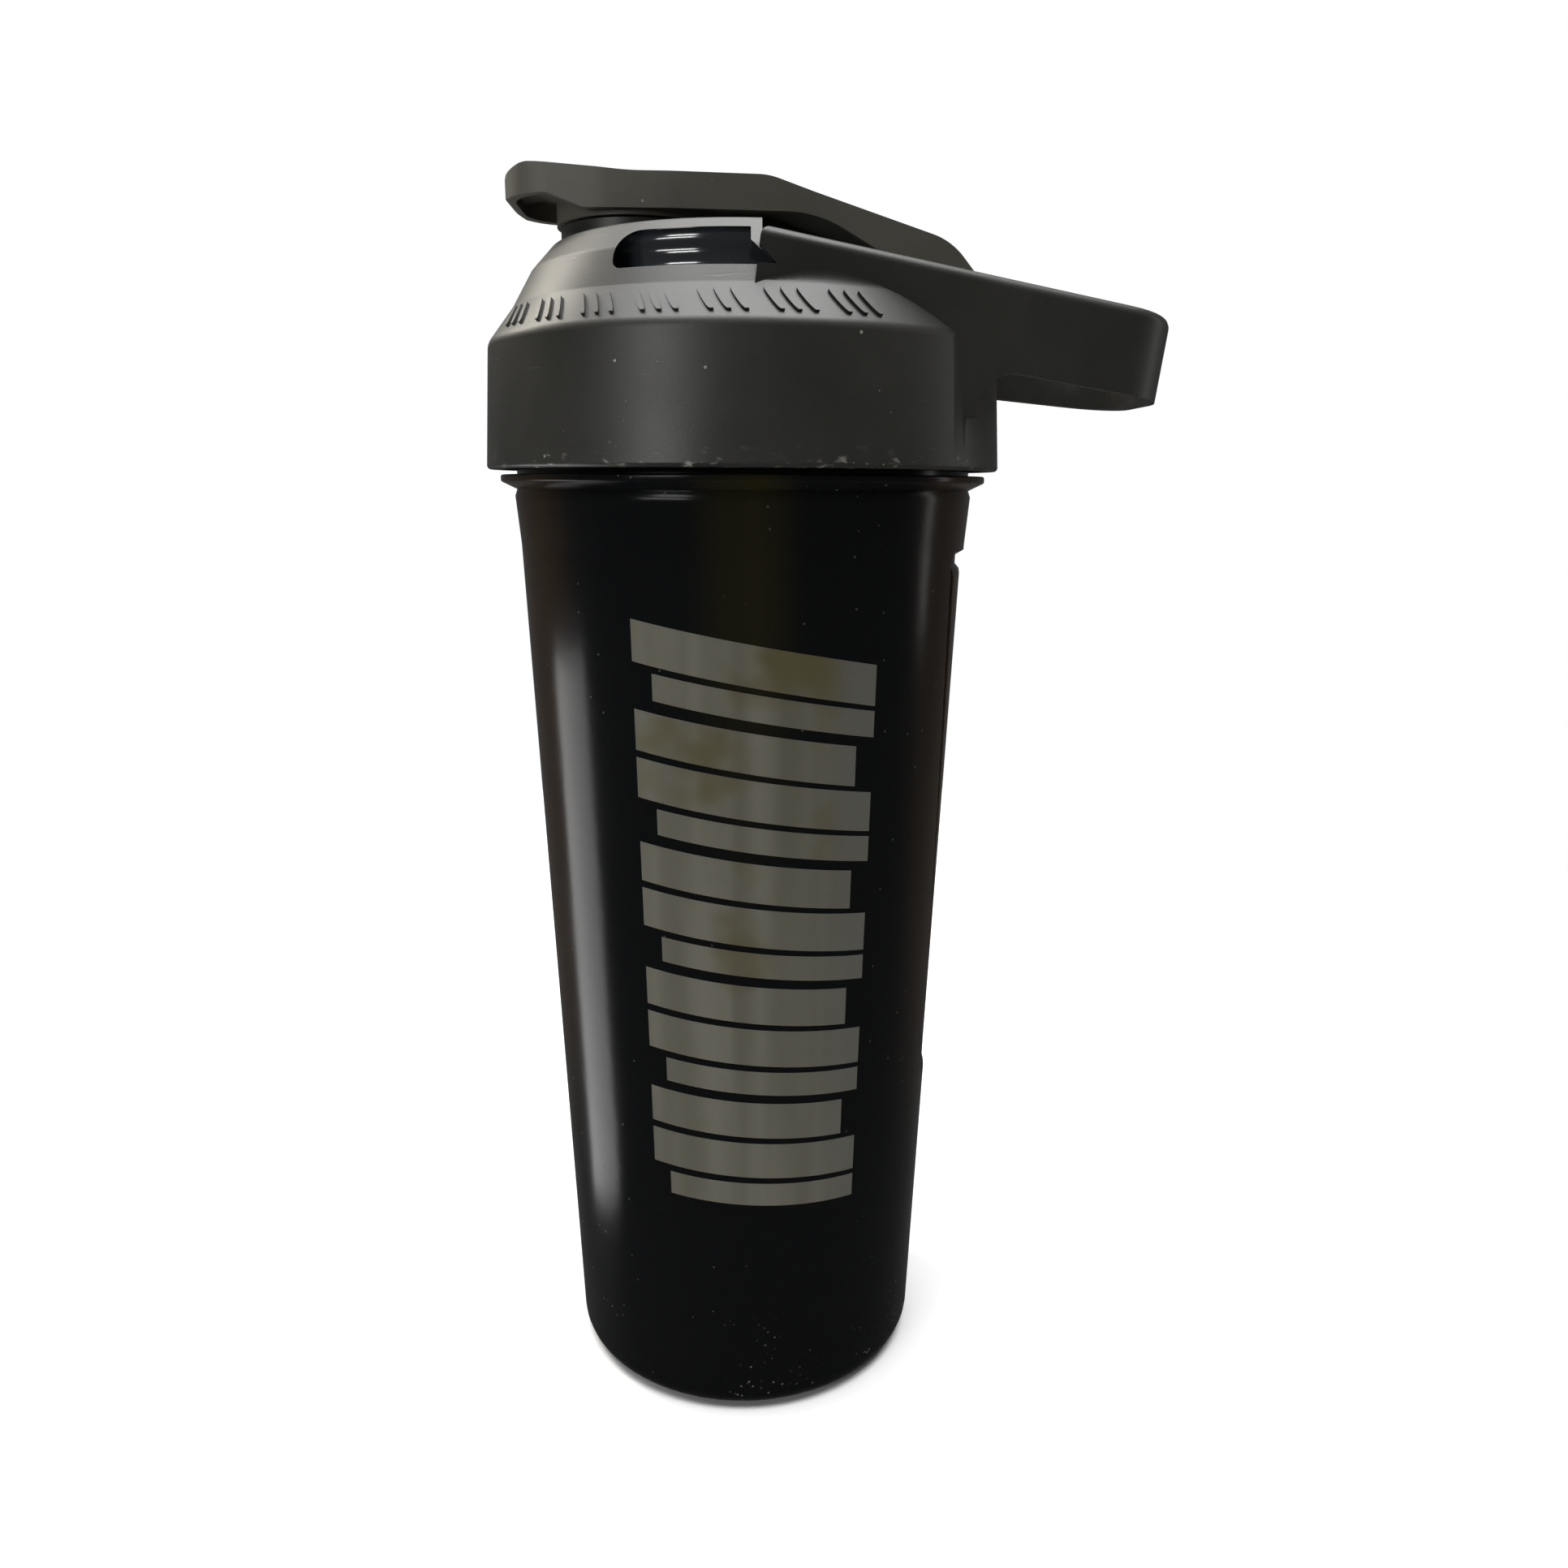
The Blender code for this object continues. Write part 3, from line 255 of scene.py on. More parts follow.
# print on the cup, angles from -Y towards +X
PRINT_TOP = 0.1530
PRINT_LEFT = math.radians(-27.0)
PRINT_RIGHT = math.radians(33.0)
PRINT_BARS = 14
PRINT_BAR_H = 0.0072
PRINT_THIN = 0.35
PRINT_GAP = 0.0014
PRINT_SLOPE = 0.0078       # fall of a bar's edge for each radian
PRINT_FLATTEN = 0.6
PRINT_STEP = math.radians(5.0)
PRINT_RAISE = 0.00005
PRINT_SINK = 0.00010

# ribs on the lid's lower cone
RIB_START = math.radians(-62.0)
RIB_END = math.radians(33.0)
RIB_PITCH = math.radians(3.4)
RIB_SLANT = math.radians(-3.0)
RIB_W = math.radians(1.5)
RIB_LOW = 0.24
RIB_HIGH = 0.82
RIB_RAISE = 0.00045
RIB_SINK = 0.00030

# studio
FLOOR = 0.50
FLOOR_STEPS = 128
FLOOR_Z = -0.0002
AMBIENT = 0.09
BACKDROP = 1.0
SKY = 3.2

# ---------------------------------------------------------------- derived sizes

TAPER = (CUP_MOUTH_R - CUP_BASE_R) / CUP_BODY_H
FLARE_TOP_Z = CUP_BODY_H + FLARE_H
COLLAR_TOP_Z = FLARE_TOP_Z + COLLAR_H
NECK_R = CUP_MOUTH_R + NECK_OUT
COLLAR_R = NECK_R + COLLAR_OUT
RIM_Z = COLLAR_TOP_Z + NECK_H
BORE_R = NECK_R - NECK_WALL

LID_Z = COLLAR_TOP_Z + SKIRT_GAP
SKIRT_BORE_R = NECK_R + THREAD_DEPTH + THREAD_CREST_GAP
SKIRT_R = SKIRT_BORE_R + SKIRT_WALL
PLUG_RING_R = BORE_R - SLIDE_GAP
PLUG_BORE_R = PLUG_RING_R - PLUG_RING_WALL
GASKET_Z = RIM_Z + FIT_GAP
SEAT_Z = GASKET_Z + GASKET_T + FIT_GAP
PLUG_RING_Z = SEAT_Z - PLUG_RING_H
DECK_R = SKIRT_R - DECK_IN
DECK_Z = LID_Z + DECK_H
CHAMBER_R = PLUG_BORE_R - CHAMBER_IN
CHAMBER_Z = DECK_Z - DECK_WALL
POCKET_BACK_R = CHAMBER_R + DECK_WALL

LOOP_OFFSET = SKIRT_R - LOOP_IN
LOOP_END_X = SKIRT_R + LOOP_REACH

SPOUT_X = SPOUT_IN - DECK_R
SPOUT_R = SPOUT_BORE_R + SPOUT_WALL
SPOUT_TOP_Z = DECK_Z + SPOUT_H
COVER_BORE_R = SPOUT_R + COVER_GAP
COVER_R = COVER_BORE_R + COVER_WALL
COVER_Z = DECK_Z + COVER_H
CEILING_Z = SPOUT_TOP_Z + FIT_GAP + SEAL_DISC_T + FIT_GAP

HINGE_X = SKIRT_R - HINGE_IN
HINGE_Z = SEAT_Z + HINGE_FLOOR + SLOT_WALL + SLOT_R
CAP_TIP_X = CAP_TIP_IN - SKIRT_R
CAP_BELLY_HALF_W = COVER_R + CAP_BELLY_OVER
EAR_INNER_Y = CAP_HALF_W - EAR_T
SLOT_HALF_W = CAP_HALF_W + CAP_SIDE_GAP

GRID_Z = PLUG_RING_Z - FIT_GAP - GRID_FLANGE_T


# ---------------------------------------------------------------- outlines

def arc(cx, cy, radius, start, end, steps):
    """Points on a circle from angle start to angle end."""
    angles = [start + (end - start) * i / steps for i in range(steps + 1)]
    return [(cx + radius * math.cos(a), cy + radius * math.sin(a)) for a in angles]


def rounded(corners, steps=CORNER_STEPS):
    """Closed outline from (x, y, radius) corners, each with a tangent arc of its radius."""
    points = []
    count = len(corners)
    for i, (x, y, radius) in enumerate(corners):
        here = Vector((x, y))
        if radius == 0.0:
            points.append((x, y))
            continue
        before = Vector(corners[i - 1][:2]) - here
        after = Vector(corners[(i + 1) % count][:2]) - here
        half = before.angle(after) / 2
        start = here + before.normalized() * radius / math.tan(half)
        end = here + after.normalized() * radius / math.tan(half)
        centre = here + (before.normalized() + after.normalized()).normalized() * radius / math.sin(half)
        a0 = math.atan2(start.y - centre.y, start.x - centre.x)
        a1 = math.atan2(end.y - centre.y, end.x - centre.x)
        turn = (a1 - a0 + math.pi) % (2 * math.pi) - math.pi
        points += arc(centre.x, centre.y, radius, a0, a0 + turn, steps)
    return points


# ---------------------------------------------------------------- solids

def add_mesh(name, verts, faces):
    mesh = bpy.data.meshes.new(name)
    mesh.from_pydata(np.asarray(verts, dtype=float).tolist(), [], faces)
    return add_object(name, mesh)


def add_object(name, mesh):
    obj = bpy.data.objects.new(name, mesh)
    bpy.context.scene.collection.objects.link(obj)
    return obj


def shade(piece):
    """Smooth shading, with creases kept sharp."""
    piece.data.shade_smooth()
    piece.data.set_sharp_from_angle(angle=CREASE)


def face_outwards(piece):
    work = bmesh.new()
    work.from_mesh(piece.data)
    bmesh.ops.recalc_face_normals(work, faces=work.faces)
    work.to_mesh(piece.data)
    work.free()


def close_at_poles(verts, faces, steps, top, bottom):
    """Adds a point at each end of a turned grid and fans its first and last ring to them."""
    count = len(verts)
    last = count - steps
    for i in range(steps):
        j = (i + 1) % steps
        faces.append([count, i, j])
        faces.append([count + 1, last + j, last + i])
    return np.vstack([verts, [top, bottom]])


def grid_faces(rows, cols, row_loop, col_loop):
    """Quads of a grid whose vertices run row by row; a loop joins the last line to the first."""
    r = np.arange(rows if row_loop else rows - 1)
    c = np.arange(cols if col_loop else cols - 1)
    a, b = np.meshgrid(r, c, indexing="ij")
    a2 = (a + 1) % rows
    b2 = (b + 1) % cols
    quads = np.stack([a * cols + b, a2 * cols + b, a2 * cols + b2, a * cols + b2], axis=-1)
    return quads.reshape(-1, 4).tolist()


def turned(name, profile, steps, centre=(0.0, 0.0), closed=False):
    """Surface of revolution: point (r, z) of the profile goes to (r cos t, r sin t, z).

    The profile runs down its outer side. Its ends lie on the axis and become single poles,
    unless it is closed on itself.
    """
    points = np.asarray(profile, dtype=float)
    ring = points if closed else points[1:-1]
    angle = np.linspace(0.0, 2 * math.pi, steps, endpoint=False)
    x = centre[0] + ring[:, :1] * np.cos(angle)
    y = centre[1] + ring[:, :1] * np.sin(angle)
    z = np.broadcast_to(ring[:, 1:], x.shape)
    verts = np.stack([x, y, z], axis=-1).reshape(-1, 3)
    faces = grid_faces(len(ring), steps, closed, True)
    if not closed:
        top = (*centre, points[0, 1])
        bottom = (*centre, points[-1, 1])
        verts = close_at_poles(verts, faces, steps, top, bottom)
    return add_mesh(name, verts, faces)


def prism(name, outline, axis, low, high):
    """Outline swept straight along an axis: X takes (y, z) points, Y takes (x, z), Z takes (x, y)."""
    points = np.asarray(outline, dtype=float)
    nxt = np.roll(points, -1, axis=0)
    area = np.sum(points[:, 0] * nxt[:, 1] - nxt[:, 0] * points[:, 1])
    turn = area if axis != "Y" else -area
    if turn < 0:
        points = points[::-1]
    count = len(points)
    order = {"X": (2, 0, 1), "Y": (0, 2, 1), "Z": (0, 1, 2)}[axis]
    layers = []
    for level in (low, high):
        flat = np.column_stack([points, np.full(count, level)])
        layers.append(flat[:, order])
    faces = [list(range(count))[::-1], list(range(count, 2 * count))]
    for i in range(count):
        j = (i + 1) % count
        faces.append([i, j, count + j, count + i])
    return add_mesh(name, np.vstack(layers), faces)


def rod(name, radius, x, z, half_length, steps):
    """Cylinder along Y."""
    step = 2 * math.pi / steps
    outline = arc(x, z, radius, step / 3, step / 3 + step * (steps - 1), steps - 1)
    return prism(name, outline, "Y", -half_length, half_length)


def combine(obj, tool, operation):
    boolean = obj.modifiers.new(operation.lower() + "_" + tool.name, "BOOLEAN")
    boolean.operation = operation
    boolean.object = tool
    return obj


def cut(obj, *tools):
    for tool in tools:
        combine(obj, tool, "DIFFERENCE")
    return obj


def join(obj, *tools):
    for tool in tools:
        combine(obj, tool, "UNION")
    return obj


def keep_inside(obj, *tools):
    for tool in tools:
        combine(obj, tool, "INTERSECT")
    return obj


def flattened(obj):
    """The object's mesh with its modifiers applied."""
    bpy.context.view_layer.update()
    graph = bpy.context.evaluated_depsgraph_get()
    mesh = bpy.data.meshes.new_from_object(obj.evaluated_get(graph))
    mesh.transform(obj.matrix_world)
    return mesh


def settle(source, name, edge=0.0):
    """The finished piece: modifiers applied, edges broken by a small round, smooth shaded."""
    mesh = flattened(source)
    work = bmesh.new()
    work.from_mesh(mesh)
    bmesh.ops.dissolve_degenerate(work, edges=work.edges, dist=SEAM_MERGE)
    bmesh.ops.dissolve_limit(work, angle_limit=FLAT_ANGLE, verts=work.verts, edges=work.edges)
    work.to_mesh(mesh)
    work.free()
    mesh.shade_smooth()
    mesh.set_sharp_from_angle(angle=CREASE)
    part = add_object(name, mesh)
    if edge > 0.0:
        bevel = part.modifiers.new("edges", "BEVEL")
        bevel.width = edge
        bevel.segments = 2
        bevel.limit_method = "ANGLE"
        bevel.angle_limit = CREASE
        bevel.harden_normals = True
    weighted = part.modifiers.new("shading", "WEIGHTED_NORMAL")
    weighted.keep_sharp = True
    weighted.weight = 100
    return part


def discard_tools(kept):
    """Removes the bodies that the pieces were cut and joined with."""
    for obj in list(bpy.data.objects):
        if obj.type == "MESH" and obj.name not in kept:
            bpy.data.objects.remove(obj)


def thread_ridge(name, root_r, crest_r, start_z):
    """Right-hand ridge: a trapezium section carried round the axis, rising by the lead a turn."""
    side = math.copysign(THREAD_SINK, root_r - crest_r)
    half_root = THREAD_ROOT_W / 2
    half_crest = THREAD_CREST_W / 2
    section = np.array([
        (root_r + side, -half_root),
        (root_r, -half_root),
        (crest_r, -half_crest),
        (crest_r, half_crest),
        (root_r, half_root),
        (root_r + side, half_root),
    ])
    steps = round(THREAD_TURNS * THREAD_STEPS)
    turn = np.linspace(0.0, 2 * math.pi * THREAD_TURNS, steps + 1)
    r = section[:, 0][None, :]
    x = r * np.cos(turn)[:, None]
    y = r * np.sin(turn)[:, None]
    z = start_z + section[:, 1][None, :] + (turn * THREAD_LEAD / (2 * math.pi))[:, None]
    verts = np.stack([x, y, z], axis=-1).reshape(-1, 3)
    count = len(section)
    faces = grid_faces(steps + 1, count, False, True)
    faces.append(list(range(count)))
    faces.append(list(range(steps * count, (steps + 1) * count))[::-1])
    if crest_r < root_r:
        faces = [face[::-1] for face in faces]
    ridge = add_mesh(name, verts, faces)
    shade(ridge)
    return ridge


def flank_offset():
    """Height of the cup's ridge over the lid's, so that their flanks stand a gap apart."""
    slope = (THREAD_ROOT_W - THREAD_CREST_W) / 2 / THREAD_DEPTH
    return THREAD_ROOT_W - slope * (SKIRT_BORE_R - NECK_R) + THREAD_FLANK_GAP


# ---------------------------------------------------------------- cup outline

def cup_outer_r(z):
    return CUP_BASE_R + TAPER * z


def cup_profile():
    groove_out = FOOT_GROOVE_R + FOOT_GROOVE_W / 2
    groove_in = FOOT_GROOVE_R - FOOT_GROOVE_W / 2
    rim_r = NECK_WALL / 3
    lip_r = COLLAR_LIP / 3
    inner_floor_r = cup_outer_r(CUP_FLOOR) - CUP_WALL
    return rounded([
        (0.0, CUP_FLOOR, 0.0),
        (inner_floor_r, CUP_FLOOR, CUP_CORNER_R),
        (CUP_MOUTH_R - CUP_WALL, CUP_BODY_H, 0.0),
        (BORE_R, FLARE_TOP_Z, 0.0),
        (BORE_R, RIM_Z, rim_r),
        (NECK_R, RIM_Z, rim_r),
        (NECK_R, COLLAR_TOP_Z, 0.0),
        (COLLAR_R, COLLAR_TOP_Z, lip_r),
        (COLLAR_R, COLLAR_TOP_Z - COLLAR_LIP, lip_r),
        (CUP_MOUTH_R + FLARE_OUT / 2, FLARE_TOP_Z + FLARE_OUT / 2, 0.0),
        (CUP_MOUTH_R + FLARE_OUT, FLARE_TOP_Z - FLARE_OUT, 0.0),
        (CUP_MOUTH_R, CUP_BODY_H, FLARE_R),
        (CUP_BASE_R, 0.0, CUP_CORNER_R),
        (groove_out, 0.0, 0.0),
        (groove_out - FOOT_GROOVE_D, FOOT_GROOVE_D, 0.0),
        (groove_in + FOOT_GROOVE_D, FOOT_GROOVE_D, 0.0),
        (groove_in, 0.0, 0.0),
        (0.0, 0.0, 0.0),
    ], TURNED_CORNER_STEPS)


# ---------------------------------------------------------------- lid

def lid_profile():
    return rounded([
        (0.0, DECK_Z, 0.0),
        (DECK_R, DECK_Z, DECK_EDGE_R),
        (SKIRT_R - DOME_RIM_IN, LID_Z + DOME_RIM_H, SHOULDER_R),
        (SKIRT_R - DOME_FOOT_IN, LID_Z + DOME_FOOT_H, SHOULDER_R),
        (SKIRT_R - SKIRT_DRAFT, LID_Z + SKIRT_H, SHOULDER_R),
        (SKIRT_R, LID_Z, SKIRT_EDGE_R),
        (0.0, LID_Z, 0.0),
    ], TURNED_CORNER_STEPS)


def lid_hollow():
    """Everything open inside the lid: chamber, plug ring's bore and the threaded skirt."""
    flare_z = LID_Z + CHAMBER_FLARE_H
    open_z = LID_Z - OVERSHOOT
    hollow = turned("lid_hollow", [
        (0.0, CHAMBER_Z),
        (CHAMBER_R, CHAMBER_Z),
        (CHAMBER_R, flare_z + CHAMBER_FLARE),
        (PLUG_BORE_R, flare_z),
        (PLUG_BORE_R, PLUG_RING_Z),
        (PLUG_RING_R, PLUG_RING_Z),
        (PLUG_RING_R, SEAT_Z),
        (SKIRT_BORE_R, SEAT_Z),
        (SKIRT_BORE_R, open_z),
        (0.0, open_z),
    ], TURN_STEPS)
    half = SLOT_HALF_W + SLOT_WALL
    slot_guard = prism("slot_wall", slot_outline(SLOT_WALL), "Y", -half, half)
    recess_guard = prism("recess_wall", recess_outline(RECESS_WALL), "Y", -SKIRT_R, SKIRT_R)
    return cut(hollow, slot_guard, recess_guard)


def recess_outline(wall):
    """Side outline (x, z) of the recess between the loop's arms, grown by a wall."""
    front_x = RECESS_X - wall
    rear_x = SKIRT_R + OVERSHOOT
    floor_z = LID_Z + RECESS_H - wall
    high = LID_Z + CAP_BROW_H + OVERSHOOT
    return [
        (front_x, floor_z - LOOP_SLOPE * front_x),
        (rear_x, floor_z - LOOP_SLOPE * rear_x),
        (rear_x, high),
        (front_x, high),
    ]


def make_recess():
    """Sunk floor between the arms, open to the rear."""
    rear_x = SKIRT_R + OVERSHOOT
    near = arm_y(RECESS_X, LOOP_WALL)
    far = arm_y(rear_x, LOOP_WALL)
    plan = prism("recess_plan", [(RECESS_X, -near), (rear_x, -far), (rear_x, far), (RECESS_X, near)],
                 "Z", LID_Z, LID_Z + CAP_BROW_H + OVERSHOOT)
    side = prism("recess_side", recess_outline(0.0), "Y", -SKIRT_R, SKIRT_R)
    # the plan runs past the front wall, so that the side outline alone makes it
    plan.data.transform(Matrix.Translation((-FIT_GAP, 0.0, 0.0)))
    return keep_inside(side, plan)


def slot_outline(wall):
    """Side outline (x, z) of the groove that the cap lies and turns in, grown by a wall."""
    radius = SLOT_R + wall
    high = LID_Z + CAP_BEND_H + OVERSHOOT
    start_x = HINGE_X - CAP_LOWER_RUN
    start_z = LID_Z + CAP_LOWER_H - SLOT_GAP - wall
    floor = arc(HINGE_X, HINGE_Z, radius, SLOT_START, 1.5 * math.pi, 2 * CORNER_STEPS)
    rear_x = SKIRT_R + OVERSHOOT
    return [(start_x, start_z)] + floor + [(rear_x, HINGE_Z - radius), (rear_x, high), (start_x, high)]


def arm_y(x, inset):
    """Distance of an arm's face from the middle plane, inset from its outer face."""
    return (LOOP_OFFSET - inset - x * math.sin(LOOP_ANGLE)) / math.cos(LOOP_ANGLE)


def loop_plan():
    """U outline (x, y) of the carry loop: outer side there, inner side back."""
    inner_x = LOOP_END_X - LOOP_WALL
    inner_r = LOOP_CORNER_R - LOOP_WALL
    half = [
        (LOOP_START_X, arm_y(LOOP_START_X, 0.0), 0.0),
        (LOOP_END_X, arm_y(LOOP_END_X, 0.0), LOOP_CORNER_R),
        (inner_x, arm_y(inner_x, LOOP_WALL), inner_r),
        (LOOP_START_X, arm_y(LOOP_START_X, LOOP_WALL), 0.0),
    ]
    outer = [half[0], half[1]]
    inner = [half[2], half[3]]
    mirror = [(x, -y, r) for x, y, r in reversed(outer)]
    mirror_inner = [(x, -y, r) for x, y, r in reversed(inner)]
    return rounded(outer + mirror + mirror_inner + inner)


def loop_lower_outline():
    """Side outline (x, z) that the loop is kept inside, with the arch at its root."""
    leave_x = math.sqrt(SKIRT_R ** 2 - LOOP_OFFSET ** 2) * math.cos(LOOP_ANGLE)
    leave_x += LOOP_OFFSET * math.sin(LOOP_ANGLE)
    root_x = leave_x + LOOP_ROOT_OUT
    root_z = LID_Z + LOOP_ROOT_H
    far_x = LOOP_END_X + OVERSHOOT
    lower_z = LID_Z + LOOP_BOTTOM_H
    high = LID_Z + LOOP_TOP_H + OVERSHOOT
    return rounded([
        (-OVERSHOOT, root_z, 0.0),
        (root_x, root_z, 0.0),
        (root_x, lower_z - LOOP_SLOPE * root_x, LOOP_ROOT_R),
        (far_x, lower_z - LOOP_SLOPE * far_x, 0.0),
        (far_x, high, 0.0),
        (-OVERSHOOT, high, 0.0),
    ], 2 * CORNER_STEPS)


def droop_loop(obj):
    """Leans the loop square to its slope, cuts its top and rounds its outer top edge."""
    work = bmesh.new()
    work.from_mesh(obj.data)
    for vert in work.verts:
        vert.co.x += LOOP_SLOPE * (vert.co.z - LID_Z - LOOP_MID_H)
    geometry = work.verts[:] + work.edges[:] + work.faces[:]
    top = bmesh.ops.bisect_plane(work, geom=geometry, plane_co=(0, 0, LID_Z + LOOP_TOP_H),
                                 plane_no=(LOOP_SLOPE, 0, 1), clear_outer=True)
    rim = [e for e in top["geom_cut"] if isinstance(e, bmesh.types.BMEdge)]
    bmesh.ops.edgeloop_fill(work, edges=rim)
    bmesh.ops.recalc_face_normals(work, faces=work.faces)
    middle = Vector((LOOP_END_X / 2, 0, 0))
    outer = []
    for edge in rim:
        wall = min(edge.link_faces, key=lambda face: face.normal.z)
        spoke = (edge.verts[0].co + edge.verts[1].co) / 2 - middle
        if wall.normal.x * spoke.x + wall.normal.y * spoke.y > 0:
            outer.append(edge)
    bmesh.ops.bevel(work, geom=outer, offset=LOOP_EDGE_R, offset_type="OFFSET", segments=5,
                    profile=0.5, affect="EDGES")
    work.to_mesh(obj.data)
    work.free()


def make_loop():
    low = LID_Z
    high = LID_Z + LOOP_TOP_H + OVERSHOOT
    loop = prism("loop_body", loop_plan(), "Z", low, high)
    droop_loop(loop)
    reach = LOOP_OFFSET + OVERSHOOT
    return keep_inside(loop, prism("loop_side", loop_lower_outline(), "Y", -reach, reach))


def spout_profile():
    base_r = SPOUT_R + SPOUT_BASE_OUT
    base_z = COVER_Z - FIT_GAP
    return [
        (0.0, SPOUT_TOP_Z),
        (SPOUT_R - SPOUT_TAPER, SPOUT_TOP_Z),
        (SPOUT_R, base_z),
        (base_r, base_z),
        (base_r, DECK_Z - DECK_WALL / 2),
        (0.0, DECK_Z - DECK_WALL / 2),
    ]


def make_knuckle():
    foot_z = HINGE_Z - SLOT_R - SLOT_WALL / 2
    corner = KNUCKLE_R - FIT_GAP / 3
    half = EAR_INNER_Y - KNUCKLE_GAP
    outline = rounded([
        (HINGE_X - KNUCKLE_R, foot_z, 0.0),
        (HINGE_X + KNUCKLE_R, foot_z, 0.0),
        (HINGE_X + KNUCKLE_R, HINGE_Z + KNUCKLE_R, corner),
        (HINGE_X - KNUCKLE_R, HINGE_Z + KNUCKLE_R, corner),
    ])
    return prism("knuckle", outline, "Y", -half, half)


def make_pocket(side):
    """Round-ended recess in the dome's flank, its other end leaning under the loop's arm."""
    floor_z = LID_Z + POCKET_FLOOR_H
    top_z = LID_Z + POCKET_TOP_H
    outline = rounded([
        (POCKET_START_X, floor_z, POCKET_FLOOR_R),
        (LOOP_START_X + POCKET_SLANT, floor_z, 0.0),
        (LOOP_START_X, floor_z + POCKET_SLANT, 0.0),
        (LOOP_START_X, top_z, 0.0),
        (POCKET_START_X, top_z, POCKET_CORNER_R),
    ])
    name = "pocket_" + ("left" if side > 0 else "right")
    low_y, high_y = sorted((side * CHAMBER_R / 2, side * (SKIRT_R + OVERSHOOT)))
    back = turned(name + "_back", [
        (0.0, DECK_Z), (POCKET_BACK_R, DECK_Z), (POCKET_BACK_R, LID_Z), (0.0, LID_Z),
    ], TURN_STEPS)
    return cut(prism(name, outline, "Y", low_y, high_y), back)


def make_lid():
    body = turned("lid_body", lid_profile(), TURN_STEPS)
    spout = turned("spout_tube", spout_profile(), SMALL_STEPS, centre=(SPOUT_X, 0.0))
    bore = turned("spout_bore", [
        (0.0, SPOUT_TOP_Z + OVERSHOOT),
        (SPOUT_BORE_R, SPOUT_TOP_Z + OVERSHOOT),
        (SPOUT_BORE_R, CHAMBER_Z - OVERSHOOT / 2),
        (0.0, CHAMBER_Z - OVERSHOOT / 2),
    ], SMALL_STEPS, centre=(SPOUT_X, 0.0))
    slot = prism("cap_slot", slot_outline(0.0), "Y", -SLOT_HALF_W, SLOT_HALF_W)
    join(body, make_loop())
    cut(body, make_pocket(-1), make_pocket(1), make_recess(), slot)
    join(body, spout, make_knuckle())
    cut(body, lid_hollow(), bore)
    return settle(body, "lid_shell", LID_EDGE)


# ---------------------------------------------------------------- flip cap

def cap_side():
    """Side outline (x, z) of the cap: tip, top, ears around the hinge, lower edge."""
    tip_x = CAP_TIP_X - FIT_GAP
    lip_z = LID_Z + CAP_LIP_H
    lower_z = LID_Z + CAP_LOWER_H
    ear = arc(HINGE_X, HINGE_Z, EAR_R, EAR_START, EAR_END, 3 * CORNER_STEPS)
    ear_corners = [(x, z, 0.0) for x, z in ear]
    return rounded([
        (tip_x, lip_z + CAP_LIP_IN / 2, 0.0),
        (tip_x, LID_Z + CAP_TIP_H, CAP_TIP_R),
        (CAP_TIP_X + CAP_BROW_RUN, LID_Z + CAP_BROW_H, CAP_BROW_R),
        (HINGE_X - CAP_DIP_RUN, LID_Z + CAP_DIP_H, CAP_DIP_R),
        (HINGE_X - CAP_BEND_RUN, LID_Z + CAP_BEND_H, CAP_BEND_R),
        (HINGE_X + CAP_TAIL_RUN, LID_Z + CAP_TAIL_H, CAP_TAIL_R),
    ] + ear_corners + [
        (HINGE_X - CAP_LOWER_RUN, lower_z, CAP_LOWER_R),
        (CAP_TIP_X + CAP_CHIN_RUN, lower_z, CAP_CHIN_R),
        (CAP_TIP_X + CAP_LIP_RUN, lip_z, CAP_CHIN_R),
        (CAP_TIP_X + CAP_LIP_IN, lip_z, 0.0),
    ])


def cap_plan(inset, ear_y, tail_x):
    """Plan outline (x, y) of the cap, inset from its sides."""
    waist_x = HINGE_X - CAP_WAIST_RUN
    ear_x = HINGE_X - SLOT_R - SLOT_WALL
    belly = CAP_BELLY_HALF_W - inset
    half = [
        (CAP_TIP_X + inset, CAP_NOSE_HALF_W - inset, CAP_NOSE_R - inset),
        (SPOUT_X - COVER_R / 3, belly, CAP_BELLY_R),
        (SPOUT_X + COVER_R / 2, belly, CAP_BELLY_R),
        (waist_x, CAP_HALF_W - inset, CAP_BELLY_R),
        (ear_x, CAP_HALF_W - inset, 0.0),
        (ear_x + CAP_WALL, ear_y, 0.0),
        (tail_x, ear_y, 0.0),
    ]
    return rounded(half + [(x, -y, r) for x, y, r in reversed(half)])


